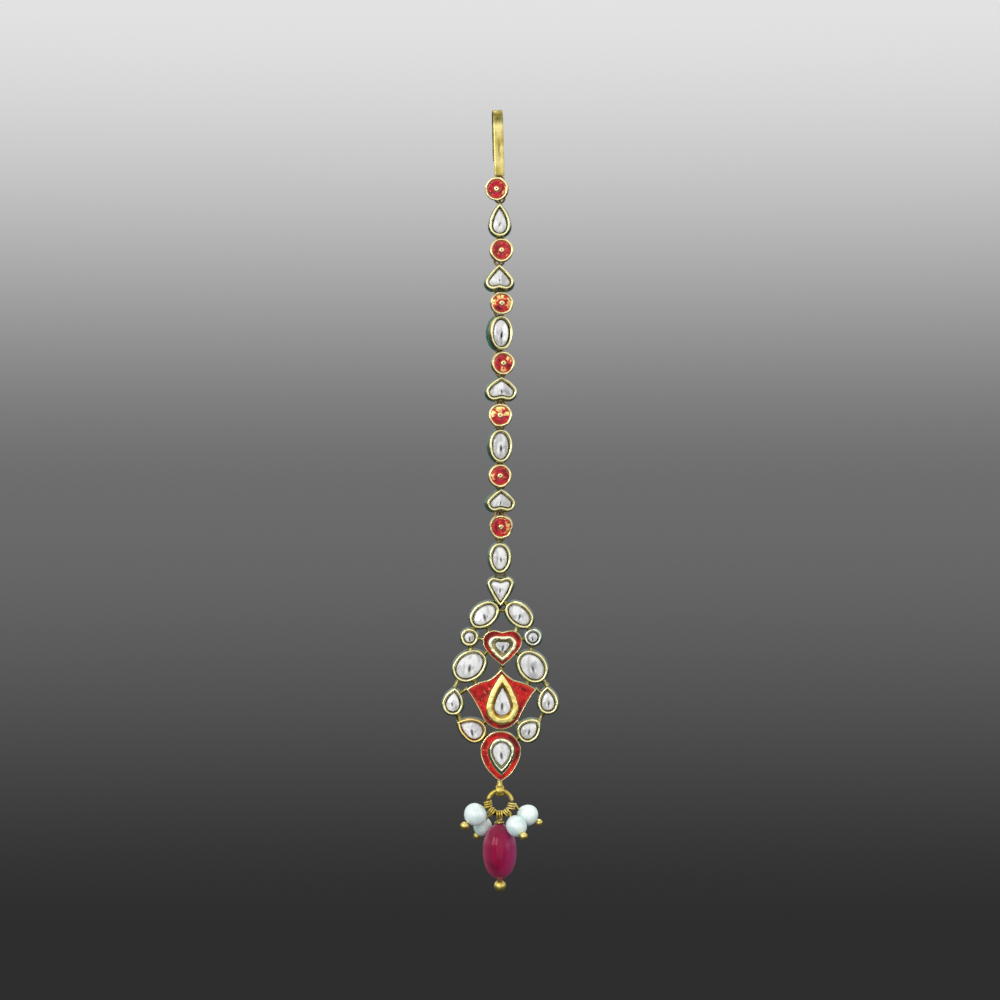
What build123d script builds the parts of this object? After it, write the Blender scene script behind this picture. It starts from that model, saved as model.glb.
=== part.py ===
from build123d import *

# A maang tikka: a forehead ornament that hangs from a hook of flat gold strip.  Under the hook hang
# fourteen jointed links, then a soldered pendant of open-set stones, then a ring that carries a long
# red bead and four pearls.  Units are millimetres.  +Z is up, the front faces -Y, and the origin is
# the inside of the hook's bend, where the ornament is held.
import os
from dataclasses import dataclass
from math import asin, atan2, cos, pi, radians, sin

os.makedirs("parts", exist_ok=True)

# Depths, along Y
BACK = -1.2              # back plates of all the links and of the pendant
BOX_DEPTH = 2.0          # back plate to the top of a rim
BAND = 0.9               # height of the lowest, enamelled band of a box
FLOOR = 0.6              # thickness of a back plate
MID_DEPTH = BOX_DEPTH / 2
SOLDER_LENGTH = 1.1      # solder posts between boxes, along Y

# Walls of a stone box, as insets from its outline at the back plate
BAND_LEAN = 0.08         # at the top of the enamelled band
LEAN = 0.33              # at the outer edge of the rim
RIM = 0.26               # width of the rim
POCKET = 0.86            # straight pocket around the stone
SLOPE = 0.5              # how far below the rim the pocket starts to widen
STONE_GAP = 0.04         # between a stone or an enamel and its pocket
STONE_DROP = 0.42        # top of a stone's girdle, below the rim
CROWN_DROP = 0.1         # top of a stone, below the rim
CROWN_INSET = 0.3        # from the girdle to the stone's top face

# Shapes of the outlines
TIP_RUN = 1.55           # a pointed end moves back this much for each unit of inset
HEART_NOTCH = 0.055      # depth of a heart's notch, as a share of its height
HEART_CORNER = 0.28      # radius of a heart's two round corners, as a share of its width
HEART_BULGE = 0.22       # turn of a heart's sides out of straight, in radians at either end
SHIELD_NOTCH = 0.02      # a shield is a heart with almost no notch, in millimetres
PEAR_LIFT = 5            # degrees that the round end of a full pear reaches above its middle
DROP_LIFT = 14           # the same for a slimmer drop

# Wire loops behind the links
WIRE_R = 0.2
LINK_R = 0.75            # loop that stands edge-on
EYE_R = 0.85             # eye that lies face-on
LOOP_GAP = 0.04          # play between two loops
LOOP_DEPTH = BACK + LINK_R - 0.1
HANG = WIRE_R + LOOP_GAP / 2
PAD_R = 0.3              # solder pads under the loops
PAD_SINK = 0.5

# Hook
STRIP_WIDTH = 1.8
STRIP_THICK = 0.6
HOOK_BEND = 1.2          # inside radius
HOOK_LEG = 11.34         # lowest point of the front leg, below the origin
HOOK_RETURN = 8.4        # lowest point of the return leg
HOOK_SPRING = 0.35       # how far the end of the return leg opens
HOOK_YAW = 4
HOOK_LEAN = 1.57

# Enamelled round links
DISC_RIM = 0.34
DISC_LEAN = 0.1
DISC_WELL = 0.55         # depth of the enamel
DISC_FILL = 0.08         # enamel lies this far below the rim
GRANULE_R = 0.48

# Enamelled cells of the pendant
BORDER = 0.17            # gold edge around the enamel
WELL = 0.45
FILL_DROP = 0.07
ENAMEL_GAP = 0.03

# Drop
RING_CENTRE = (0.49, -2.2, -124.3)
RING_R = 2.16
RING_WIRE = 0.36
WRAP_R = 0.62            # wire turns around the ring
WRAP_WIRE = 0.19
WRAP_PITCH = 0.36
PIN_R = 0.2
BORE_GAP = 0.06
BALL_GAP = 0.03
BAIL_WIDTH = 1.56
BAIL_BORE = 0.65
BAIL_OUTER = 1.0
BAIL_NECK = 0.45


@dataclass(frozen=True)
class Cell:
    """A box with an outline, placed by the middle of that outline."""

    name: str
    shape: str
    width: float
    height: float
    x: float
    z: float
    turn: float = 0.0    # anticlockwise, seen from the front
    yaw: float = 0.0     # positive turns the face to +X
    pitch: float = 0.0   # positive turns the face up


@dataclass(frozen=True)
class Drop:
    """A bead on a pin: its place is given from the centre of the ring."""

    name: str
    ring_angle: float
    dx: float
    dy: float
    dz: float
    radius: float
    ball: float


# The strand, from the top.  Hearts and the pear point up, and round links carry enamel.
STRAND = [
    Cell("round_link_1", "round", 4.10, 4.10, 0.02, -13.79, yaw=-4, pitch=-4),
    Cell("pear_link", "pear", 4.32, 6.57, 0.46, -19.40),
    Cell("round_link_2", "round", 4.10, 4.10, 0.67, -24.97, yaw=4, pitch=2),
    Cell("heart_link_1", "heart", 5.58, 4.95, 0.34, -29.93, turn=180, yaw=3, pitch=6),
    Cell("round_link_3", "round", 4.00, 4.00, 0.68, -34.36, yaw=5, pitch=-3),
    Cell("oval_link_1", "oval", 4.77, 6.60, 0.17, -39.80, yaw=20),
    Cell("round_link_4", "round", 4.06, 4.06, 0.85, -45.25, yaw=8),
    Cell("heart_link_2", "heart", 6.03, 4.70, 0.62, -49.78, turn=180, yaw=5),
    Cell("round_link_5", "round", 4.10, 4.10, 0.56, -54.61),
    Cell("oval_link_2", "oval", 4.65, 6.44, 0.40, -60.12, yaw=8),
    Cell("round_link_6", "round", 4.04, 4.04, 0.40, -65.50, yaw=4),
    Cell("heart_link_3", "heart", 5.58, 4.44, 0.41, -69.86, turn=180, yaw=10),
    Cell("round_link_7", "round", 4.15, 4.15, 0.70, -74.45, pitch=-8),
    Cell("oval_link_3", "oval", 4.45, 5.92, 0.42, -80.29, yaw=3),
]

# The pendant's stone boxes
TOP_HEART = Cell("top_heart", "heart", 5.18, 5.75, 0.60, -86.40)
PENDANT = [
    TOP_HEART,
    Cell("upper_oval_left", "oval", 6.30, 4.70, -2.32, -90.51, turn=38),
    Cell("upper_oval_right", "oval", 6.20, 4.50, 3.96, -90.50, turn=-42),
    Cell("small_round_left", "round", 3.65, 3.65, -4.99, -94.54),
    Cell("small_round_right", "round", 3.55, 3.55, 6.43, -94.54),
    Cell("large_oval_left", "oval", 7.10, 5.70, -4.99, -99.68, turn=38),
    Cell("large_oval_right", "oval", 6.80, 5.55, 6.30, -99.81, turn=-50),
    Cell("side_pear_left", "pear", 4.25, 5.78, -7.90, -105.90, turn=-8),
    Cell("side_pear_right", "pear", 4.18, 5.80, 9.10, -105.70, turn=4),
    Cell("lower_pear_left", "pear", 4.70, 6.45, -4.85, -111.00, turn=63),
    Cell("lower_pear_right", "pear", 4.50, 5.70, 5.95, -111.05, turn=-46),
]

# The pendant's enamelled cells, and the raised gold collar and the stone's opening in each
RED_HEART = Cell("red_heart", "heart", 7.15, 6.36, 0.94, -96.48)
HEART_COLLAR = Cell("red_heart_collar", "shield", 5.10, 4.60, 0.94, -96.60)
HEART_OPENING = Cell("red_heart_opening", "shield", 3.40, 2.90, 0.94, -96.40)
TULIP = Cell("tulip", "tulip", 12.52, 10.86, 0.72, -105.72)
TULIP_COLLAR = Cell("tulip_collar", "drop", 5.87, 9.25, 0.88, -105.60)
TULIP_OPENING = Cell("tulip_opening", "drop", 3.20, 5.40, 0.95, -106.00)
TEARDROP = Cell("teardrop", "drop", 7.30, 9.16, 0.63, -115.98, turn=180)
TEARDROP_COLLAR = Cell("teardrop_collar", "drop", 4.82, 6.66, 0.76, -116.00, turn=180)
TEARDROP_OPENING = Cell("teardrop_opening", "drop", 3.40, 4.50, 0.76, -115.60, turn=180)
ENAMELLED = [
    (RED_HEART, HEART_COLLAR, HEART_OPENING, 0.25),
    (TULIP, TULIP_COLLAR, TULIP_OPENING, 0.40),
    (TEARDROP, TEARDROP_COLLAR, TEARDROP_OPENING, 0.15),
]

# Short posts of solder that join the boxes, from the top: x, z, radius
SOLDER = [
    (-0.90, -88.10, 0.50), (2.20, -88.10, 0.50), (0.77, -89.10, 0.50),
    (-4.20, -93.00, 0.45), (5.70, -92.90, 0.45), (-1.40, -93.30, 0.40), (2.95, -93.20, 0.40),
    (-2.85, -94.75, 0.45), (4.55, -94.70, 0.45), (-4.90, -96.50, 0.45), (6.40, -96.50, 0.45),
    (-1.80, -97.55, 0.50), (3.60, -97.60, 0.50), (0.83, -99.93, 0.50),
    (-7.30, -102.75, 0.50), (8.70, -102.60, 0.50), (-4.90, -103.12, 0.50), (6.30, -103.20, 0.50),
    (-5.90, -104.05, 0.45), (7.30, -104.00, 0.45), (-7.78, -109.15, 0.50), (8.15, -108.74, 0.50),
    (-2.30, -109.85, 0.40), (3.75, -109.85, 0.40), (-2.22, -112.74, 0.45), (3.60, -112.85, 0.45),
    (0.68, -111.30, 0.50),
]

PEARLS = [
    Drop("pearl_left_front", 187, -4.45, -0.7, -2.13, 2.02, 0.78),
    Drop("pearl_left_back", 226, -3.17, 2.1, -4.50, 1.72, 0.67),
    Drop("pearl_right_front", 305, 2.95, -2.4, -3.99, 2.00, 0.72),
    Drop("pearl_right_back", 344, 4.96, 0.9, -2.35, 1.90, 0.67),
]
RUBY = Drop("ruby", 268, -0.05, 0.0, -8.80, 3.03, 1.07)
RUBY_HALF = 5.13
RUBY_SHOULDER = (2.27, 3.4)   # radius and height where the belly turns into the rounded ends
RUBY_COLLAR = 0.85            # radius of the gold collar on top of the bead


def heart_lines(width, height, inset, notch):
    """A heart with slightly bulging sides and tight round corners: the tip points down."""
    full = width * HEART_CORNER
    radius = full - inset
    corner = Vector(width / 2 - full, height / 2 - full)
    high = Vector(0, height / 2 - inset - notch)
    below, above = corner - Vector(0, -height / 2), corner - high
    side = atan2(below.Y, below.X) - asin(full / below.length)
    brow = atan2(above.Y, above.X) + asin(radius / above.length)
    bend = [corner + Vector(radius * cos(turn), radius * sin(turn))
            for turn in (brow + pi / 2, (brow + side + HEART_BULGE) / 2, side - pi / 2 + HEART_BULGE)]
    with BuildLine() as edge:
        Line(high, bend[0])
        corner_arc = ThreePointArc(*bend)
        TangentArc(bend[2], (0, -height / 2 + inset / cos(side - HEART_BULGE)), tangent=corner_arc % 1)
        mirror(about=Plane.YZ)
    make_face(edge.edges())


def pear_lines(width, height, inset, lift):
    """Round end down and tip up.  The less the round end lifts, in degrees, the more the sides bulge."""
    radius = width / 2 - inset
    middle = -height / 2 + width / 2
    tip = height / 2 - TIP_RUN * inset
    turn = radians(lift)
    side = (radius * cos(turn), middle + radius * sin(turn))
    with BuildLine() as edge:
        end = ThreePointArc((0, middle - radius), (radius * cos(turn), middle - radius * sin(turn)), side)
        TangentArc(end @ 1, (0, tip), tangent=end % 1)
        mirror(about=Plane.YZ)
    make_face(edge.edges())


def tulip_lines(width, height, inset):
    """Tulip head: a pointed middle petal, two ears and a round foot."""
    half, top = width / 2, height / 2
    notch = (-half * 0.375, top - 2.0)
    ear = (-half, top - 3.62)
    hip = (-half * 0.56, top - 8.2)
    with BuildLine() as edge:
        petal = ThreePointArc((0, top), (-half * 0.17, top - 1.1), notch)
        brow = ThreePointArc(petal @ 1, (-half * 0.70, top - 2.55), ear)
        flank = ThreePointArc(brow @ 1, (-half * 0.765, top - 5.8), hip)
        ThreePointArc(flank @ 1, (-half * 0.33, top - 10.15), (0, -top))
        mirror(about=Plane.YZ)
    make_face(edge.edges())
    if inset:
        offset(amount=-inset, kind=Kind.ARC, mode=Mode.REPLACE)


def outline(cell, inset=0.0):
    """Draws a cell's outline in the current sketch, moved inwards by the inset."""
    if cell.shape == "round":
        Circle(cell.width / 2 - inset)
    elif cell.shape == "oval":
        Ellipse(cell.width / 2 - inset, cell.height / 2 - inset)
    elif cell.shape == "pear":
        pear_lines(cell.width, cell.height, inset, PEAR_LIFT)
    elif cell.shape == "drop":
        pear_lines(cell.width, cell.height, inset, DROP_LIFT)
    elif cell.shape == "heart":
        heart_lines(cell.width, cell.height, inset, cell.height * HEART_NOTCH)
    elif cell.shape == "shield":
        heart_lines(cell.width, cell.height, inset, SHIELD_NOTCH)
    else:
        tulip_lines(cell.width, cell.height, inset)


def face_plane(cell, height=0.0):
    """Plane of a cell, seen from the front, at a height above its back plate."""
    plane = Plane(origin=(cell.x, BACK, cell.z), x_dir=(1, 0, 0), z_dir=(0, -1, 0))
    turned = plane.rotated((0, -cell.turn, 0))
    return turned.rotated((-cell.pitch, 0, 0)).rotated((0, 0, cell.yaw)).offset(height)


def add_layer(cell, low, high, low_inset, high_inset, mode=Mode.ADD):
    """A straight-sided layer between two insets of one outline."""
    sections = []
    for height, inset in ((low, low_inset), (high, high_inset)):
        with BuildSketch(face_plane(cell, height)) as section:
            outline(cell, inset)
        sections.append(section.sketch)
    loft(sections, ruled=True, mode=mode)


def add_slab(cell, low, high, inset=0.0, mode=Mode.ADD):
    """A layer with upright sides."""
    with BuildSketch(face_plane(cell, low)) as section:
        outline(cell, inset)
    extrude(section.sketch, amount=high - low, mode=mode)


def add_stone_box(cell):
    """A box for a stone, still solid, with an upright enamelled foot under leaning walls."""
    add_layer(cell, 0, BAND, 0, BAND_LEAN)
    add_layer(cell, BAND, BOX_DEPTH, BAND_LEAN, LEAN)


def cut_pocket(cell):
    """The stone's pocket, which widens towards the thin rim."""
    add_slab(cell, FLOOR, BOX_DEPTH, POCKET, mode=Mode.SUBTRACT)
    add_layer(cell, BOX_DEPTH - SLOPE, BOX_DEPTH, POCKET, LEAN + RIM, mode=Mode.SUBTRACT)


def add_round_cup(cell):
    """A round cup for enamel, with a gold granule in its middle."""
    add_layer(cell, 0, BOX_DEPTH, 0, DISC_LEAN)
    add_slab(cell, BOX_DEPTH - DISC_WELL, BOX_DEPTH, DISC_RIM, mode=Mode.SUBTRACT)
    with BuildSketch(face_plane(cell, FLOOR)) as post:
        Circle(GRANULE_R)
    extrude(post.sketch, amount=BOX_DEPTH - FLOOR)
    with Locations(face_plane(cell, BOX_DEPTH)):
        Sphere(GRANULE_R)


def add_hoop(x, y, z, radius, wire, axis):
    """A ring of round wire."""
    with Locations(Plane(origin=(x, y, z), z_dir=axis)):
        Torus(radius, wire)


def add_pad(x, z, reach):
    """A solder pad that stands on a back plate and reaches a depth."""
    with Locations(Plane(origin=(x, BACK - PAD_SINK, z), z_dir=(0, 1, 0))):
        Cylinder(PAD_R, reach - BACK + PAD_SINK, align=(Align.CENTER, Align.CENTER, Align.MIN))


def add_eye(x, level, side):
    """A face-on eye.  side is 1 on the upper of two links and -1 on the lower."""
    centre = level + side * (EYE_R - HANG)
    add_hoop(x, LOOP_DEPTH, centre, EYE_R, WIRE_R, (0, 1, 0))
    add_pad(x, centre + side * EYE_R, LOOP_DEPTH)


def add_loop(x, level, side):
    """An edge-on loop.  side is 1 on the upper of two links and -1 on the lower."""
    centre = level + side * (LINK_R - HANG)
    add_hoop(x, LOOP_DEPTH, centre, LINK_R, WIRE_R, (1, 0, 0))
    add_pad(x, centre + side * PAD_R / 2, BACK + WIRE_R)


def edge_level(cell, end):
    """Height of a box's upper (1) or lower (-1) edge on its middle line."""
    notched = cell.shape == "heart" and (end == -1) == (cell.turn == 180)
    return cell.z + end * cell.height * (0.5 - (HEART_NOTCH if notched else 0))


def save(piece, name):
    """Names a finished piece and writes it."""
    piece.part.label = name
    export_step(piece.part, f"parts/{name}.step")


def stone_name(cell):
    """Name of the stone that sits in a box."""
    return cell.name.replace("_link", "") + "_stone"


def make_stone(cell, name, girdle, top, base=FLOOR + STONE_GAP):
    """A flat-backed stone that fills its pocket and rises to a low crown."""
    with BuildPart() as stone:
        add_slab(cell, base, girdle, POCKET + STONE_GAP)
        add_layer(cell, girdle, top, POCKET + STONE_GAP, POCKET + CROWN_INSET)
    save(stone, name)


# Where each link hangs from the one above: levels between neighbouring edges, and the middle of
# whichever neighbour is not a round link
chain = STRAND + [TOP_HEART]
levels = [(-HOOK_LEG + edge_level(STRAND[0], 1)) / 2]
hang_x = [HOOK_LEG * sin(radians(HOOK_LEAN))]
for upper, lower in zip(chain, chain[1:]):
    levels.append((edge_level(upper, -1) + edge_level(lower, 1)) / 2)
    hang_x.append(upper.x if lower.shape == "round" else lower.x)

# Hook: a flat strip bent over on itself, with a loop behind its lower end
side_plane = Plane.YZ.rotated((0, -HOOK_LEAN, 0)).rotated((0, 0, HOOK_YAW))
strip_line = HOOK_BEND + STRIP_THICK / 2
with BuildPart() as hook:
    with BuildSketch(side_plane):
        with BuildLine():
            Line((-strip_line, -HOOK_LEG), (-strip_line, -HOOK_BEND))
            ThreePointArc((-strip_line, -HOOK_BEND), (0, STRIP_THICK / 2), (strip_line, -HOOK_BEND))
            Line((strip_line, -HOOK_BEND), (strip_line + HOOK_SPRING, -HOOK_RETURN))
        trace(line_width=STRIP_THICK)
    extrude(amount=STRIP_WIDTH / 2, both=True)
    add_loop(hang_x[0], levels[0], 1)
save(hook, "hook")

# Links of the strand
for number, link in enumerate(STRAND):
    add_hold = add_eye if link.shape == "round" else add_loop
    add_foot = add_eye if link.shape == "round" or link is STRAND[-1] else add_loop
    with BuildPart() as frame:
        if link.shape == "round":
            add_round_cup(link)
        else:
            add_stone_box(link)
            cut_pocket(link)
        add_hold(hang_x[number], levels[number], -1)
        add_foot(hang_x[number + 1], levels[number + 1], 1)
    save(frame, link.name)
    if link.shape == "round":
        with BuildPart() as enamel:
            with BuildSketch(face_plane(link, BOX_DEPTH - DISC_WELL + ENAMEL_GAP)):
                Circle(link.width / 2 - DISC_RIM - ENAMEL_GAP)
                Circle(GRANULE_R + ENAMEL_GAP, mode=Mode.SUBTRACT)
            extrude(amount=DISC_WELL - ENAMEL_GAP - DISC_FILL)
        save(enamel, link.name.replace("round_link", "enamel_disc"))
    else:
        make_stone(link, stone_name(link), BOX_DEPTH - STONE_DROP, BOX_DEPTH - CROWN_DROP)

# Pendant: every box, collar and solder post is one piece of metal, with a loop above and a bail below
with BuildPart() as pendant_frame:
    for cell in PENDANT:
        add_stone_box(cell)
    for cell, collar, opening, rise in ENAMELLED:
        add_slab(cell, 0, BOX_DEPTH)
    for x, z, radius in SOLDER:
        with Locations(Plane(origin=(x, BACK - MID_DEPTH, z), z_dir=(0, -1, 0))):
            Cylinder(radius, SOLDER_LENGTH)
    for cell in PENDANT:
        cut_pocket(cell)
    for cell, collar, opening, rise in ENAMELLED:
        add_slab(cell, BOX_DEPTH - WELL, BOX_DEPTH, BORDER, mode=Mode.SUBTRACT)
        add_slab(collar, BOX_DEPTH - WELL - BORDER, BOX_DEPTH + rise)
        add_slab(opening, FLOOR, BOX_DEPTH + rise, mode=Mode.SUBTRACT)
    add_loop(hang_x[-1], levels[-1], -1)
    bail_x, bail_y, ring_z = RING_CENTRE
    bail_z = ring_z + RING_R
    with Locations((bail_x, bail_y, bail_z + BAIL_OUTER)):
        Cylinder(BAIL_NECK, BAIL_OUTER * 1.3)
    with Locations(Plane(origin=(bail_x, bail_y, bail_z), z_dir=(1, 0, 0))):
        Cylinder(BAIL_OUTER, BAIL_WIDTH)
        Cylinder(BAIL_BORE, BAIL_WIDTH, mode=Mode.SUBTRACT)
save(pendant_frame, "pendant_frame")

# Stones of the pendant
for cell in PENDANT:
    make_stone(cell, stone_name(cell), BOX_DEPTH - STONE_DROP, BOX_DEPTH - CROWN_DROP)
for cell, collar, opening, rise in ENAMELLED:
    with BuildPart() as stone:
        add_slab(opening, FLOOR + STONE_GAP, BOX_DEPTH - STONE_DROP + rise, STONE_GAP)
        add_layer(opening, BOX_DEPTH - STONE_DROP + rise, BOX_DEPTH - CROWN_DROP + rise,
                  STONE_GAP, CROWN_INSET)
    save(stone, stone_name(cell))
    with BuildPart() as enamel:
        add_slab(cell, BOX_DEPTH - WELL + ENAMEL_GAP, BOX_DEPTH - FILL_DROP, BORDER + ENAMEL_GAP)
        add_slab(collar, BOX_DEPTH - WELL, BOX_DEPTH, -ENAMEL_GAP, mode=Mode.SUBTRACT)
    save(enamel, f"{cell.name}_enamel")

# Drop: the jump ring
with BuildPart() as jump_ring:
    add_hoop(*RING_CENTRE, RING_R, RING_WIRE, (0, 1, 0))
save(jump_ring, "jump_ring")


def wrap_point(drop):
    """Where a drop's wire is wound on the ring, and the ring's direction there."""
    angle = radians(drop.ring_angle)
    tangent = Vector(-sin(angle), 0, cos(angle))
    return Vector(*RING_CENTRE) + Vector(cos(angle), 0, sin(angle)) * RING_R, tangent


def bead_centre(drop):
    """Centre of a drop's bead."""
    return Vector(*RING_CENTRE) + Vector(drop.dx, drop.dy, drop.dz)


def pin_start(drop):
    """The point on the wire turns from which the pin sets off."""
    start, tangent = wrap_point(drop)
    away = bead_centre(drop) - start
    across = away - tangent * away.dot(tangent)
    return start + across.normalized() * WRAP_R


def pin_plane(drop):
    """Plane across the pin at the bead's centre, facing along the pin, away from the ring."""
    centre = bead_centre(drop)
    return Plane(origin=centre, z_dir=centre - pin_start(drop))


def make_pin(drop, half_length, name, collar=0.0):
    """Wire turns on the ring, a straight pin through the bead and a ball that stops it."""
    start, tangent = wrap_point(drop)
    length = (bead_centre(drop) - pin_start(drop)).length
    ball_at = half_length + BALL_GAP + drop.ball
    with BuildPart() as pin:
        for step in (-0.5, 0.5):
            with Locations(Plane(origin=start + tangent * WRAP_PITCH * step, z_dir=tangent)):
                Torus(WRAP_R, WRAP_WIRE)
        with Locations(pin_plane(drop).offset(-length)):
            Cylinder(PIN_R, length + ball_at, align=(Align.CENTER, Align.CENTER, Align.MIN))
        with Locations(pin_plane(drop).offset(ball_at)):
            Sphere(drop.ball)
        if collar:
            with Locations(pin_plane(drop).offset(-half_length - BALL_GAP - collar / 4)):
                Cylinder(collar, collar / 2)
    save(pin, name)


# Pearls and their pins
for pearl in PEARLS:
    with BuildPart() as bead:
        with Locations(pin_plane(pearl)):
            Sphere(pearl.radius)
            Cylinder(PIN_R + BORE_GAP, 2 * pearl.radius, mode=Mode.SUBTRACT)
    save(bead, pearl.name)
    make_pin(pearl, pearl.radius, pearl.name.replace("pearl", "pearl_pin"))

# The long red bead, turned about its pin
with BuildPart() as ruby_bead:
    plane = pin_plane(RUBY)
    bore = PIN_R + BORE_GAP
    with BuildSketch(Plane(origin=plane.origin, x_dir=plane.x_dir, z_dir=plane.y_dir)):
        with BuildLine():
            belly = ThreePointArc((RUBY_SHOULDER[0], -RUBY_SHOULDER[1]), (RUBY.radius, 0), RUBY_SHOULDER)
            TangentArc(belly @ 1, (bore, RUBY_HALF), tangent=belly % 1)
            Line((bore, RUBY_HALF), (bore, -RUBY_HALF))
            TangentArc(belly @ 0, (bore, -RUBY_HALF), tangent=(belly % 0) * -1)
        make_face()
    revolve(axis=Axis(plane.origin, plane.z_dir))
save(ruby_bead, "ruby_bead")
make_pin(RUBY, RUBY_HALF, "ruby_pin", RUBY_COLLAR)
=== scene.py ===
"""Looks of a maang tikka, a forehead ornament of gold, uncut diamonds, enamel, pearls and a ruby.

Every size is in millimetres and is turned to metres where a mesh is written.  The front faces -Y and
+Z is up.  Places and outlines are read from the frame's own pieces.
"""
import logging
import math
from collections.abc import Iterable
from dataclasses import dataclass, field
from enum import Enum

import bmesh
import bpy
import numpy as np
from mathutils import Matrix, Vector, noise


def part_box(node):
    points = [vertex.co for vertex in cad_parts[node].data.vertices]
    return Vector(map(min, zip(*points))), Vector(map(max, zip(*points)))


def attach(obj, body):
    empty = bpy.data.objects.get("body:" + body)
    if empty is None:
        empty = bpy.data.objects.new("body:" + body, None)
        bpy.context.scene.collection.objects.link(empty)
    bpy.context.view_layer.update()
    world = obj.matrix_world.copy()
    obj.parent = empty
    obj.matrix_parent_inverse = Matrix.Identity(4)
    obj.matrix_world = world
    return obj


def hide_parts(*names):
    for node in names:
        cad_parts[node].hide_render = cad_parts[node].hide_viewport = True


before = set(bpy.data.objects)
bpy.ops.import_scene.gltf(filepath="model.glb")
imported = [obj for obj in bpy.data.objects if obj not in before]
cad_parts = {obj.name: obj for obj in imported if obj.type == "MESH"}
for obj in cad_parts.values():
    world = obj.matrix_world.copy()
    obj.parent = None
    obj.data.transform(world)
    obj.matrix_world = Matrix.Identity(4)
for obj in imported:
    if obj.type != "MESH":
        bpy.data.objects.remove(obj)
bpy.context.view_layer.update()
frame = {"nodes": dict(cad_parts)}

Table = tuple[tuple[float, ...], ...]

MM = 0.001
RIGHT = np.array([1.0, 0.0, 0.0])
BACK = np.array([0.0, 1.0, 0.0])
UP = np.array([0.0, 0.0, 1.0])

# Heights above the back plate of a box, cup or cell
STONE_BASE = 0.64        # back of a stone
DISC_BASE = 1.48         # back of the enamel in a round link
CELL_BASE = 1.58         # back of the enamel in the pendant's red cells

RING_WIRE = 0.36         # radius of the jump ring's wire
NOISE_SEED = 5           # without a seed, the noise would differ from run to run

# Input sockets of a colour mix: its factor and its two colours
BLEND, FIRST, SECOND = 0, 6, 7

log = logging.getLogger("maang_tikka")


# --- Materials -------------------------------------------------------------------------------------


def linear(colour: str) -> tuple[float, float, float, float]:
    """Turns an sRGB hex colour into linear red, green, blue and alpha.

    Args:
        colour: "#RRGGBB".

    Returns:
        Four floats for a colour socket.
    """
    parts = [int(colour[start:start + 2], 16) / 255 for start in (1, 3, 5)]
    return tuple(p / 12.92 if p <= 0.04045 else ((p + 0.055) / 1.055) ** 2.4 for p in parts) + (1.0,)


def per_mm(size: float) -> float:
    """Texture scale, in an object's metres, for a pattern of this size in millimetres."""
    return 1 / (size * MM)


class Recipe:
    """The node tree of a material or a world while it is put together."""

    def __init__(self, owner: bpy.types.Material | bpy.types.World) -> None:
        """Empties the owner's node tree.

        Args:
            owner: the new material or world.
        """
        owner.use_nodes = True
        self.owner = owner
        self.tree = owner.node_tree
        self.tree.nodes.clear()

    @classmethod
    def for_material(cls, name: str) -> "Recipe":
        """Starts an empty material of this name."""
        return cls(bpy.data.materials.new(name))

    def add(self, kind: str, inputs: dict | None = None, **settings: object) -> bpy.types.Node:
        """Adds a node with its settings and links.

        Args:
            kind: the node's type, without the ShaderNode that each type starts with.
            inputs: socket name or number to a value, to a hex colour, to the output that feeds it or
                to a node, whose first output in use feeds it.
            **settings: the node's own properties.

        Returns:
            The new node.
        """
        node = self.tree.nodes.new(f"ShaderNode{kind}")
        for name, value in settings.items():
            setattr(node, name, value)
        for socket, value in (inputs or {}).items():
            if isinstance(value, bpy.types.Node):
                value = next(output for output in value.outputs if output.enabled)
            if isinstance(value, bpy.types.NodeSocket):
                self.tree.links.new(value, node.inputs[socket])
            else:
                node.inputs[socket].default_value = linear(value) if isinstance(value, str) else value
        return node

    def finish(self, surface: dict) -> bpy.types.Material:
        """Ends the tree in one Principled shader.

        Args:
            surface: the shader's sockets, as in add.

        Returns:
            The finished material.
        """
        shader = self.add("BsdfPrincipled", surface)
        self.add("OutputMaterial", {"Surface": shader})
        return self.owner


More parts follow.
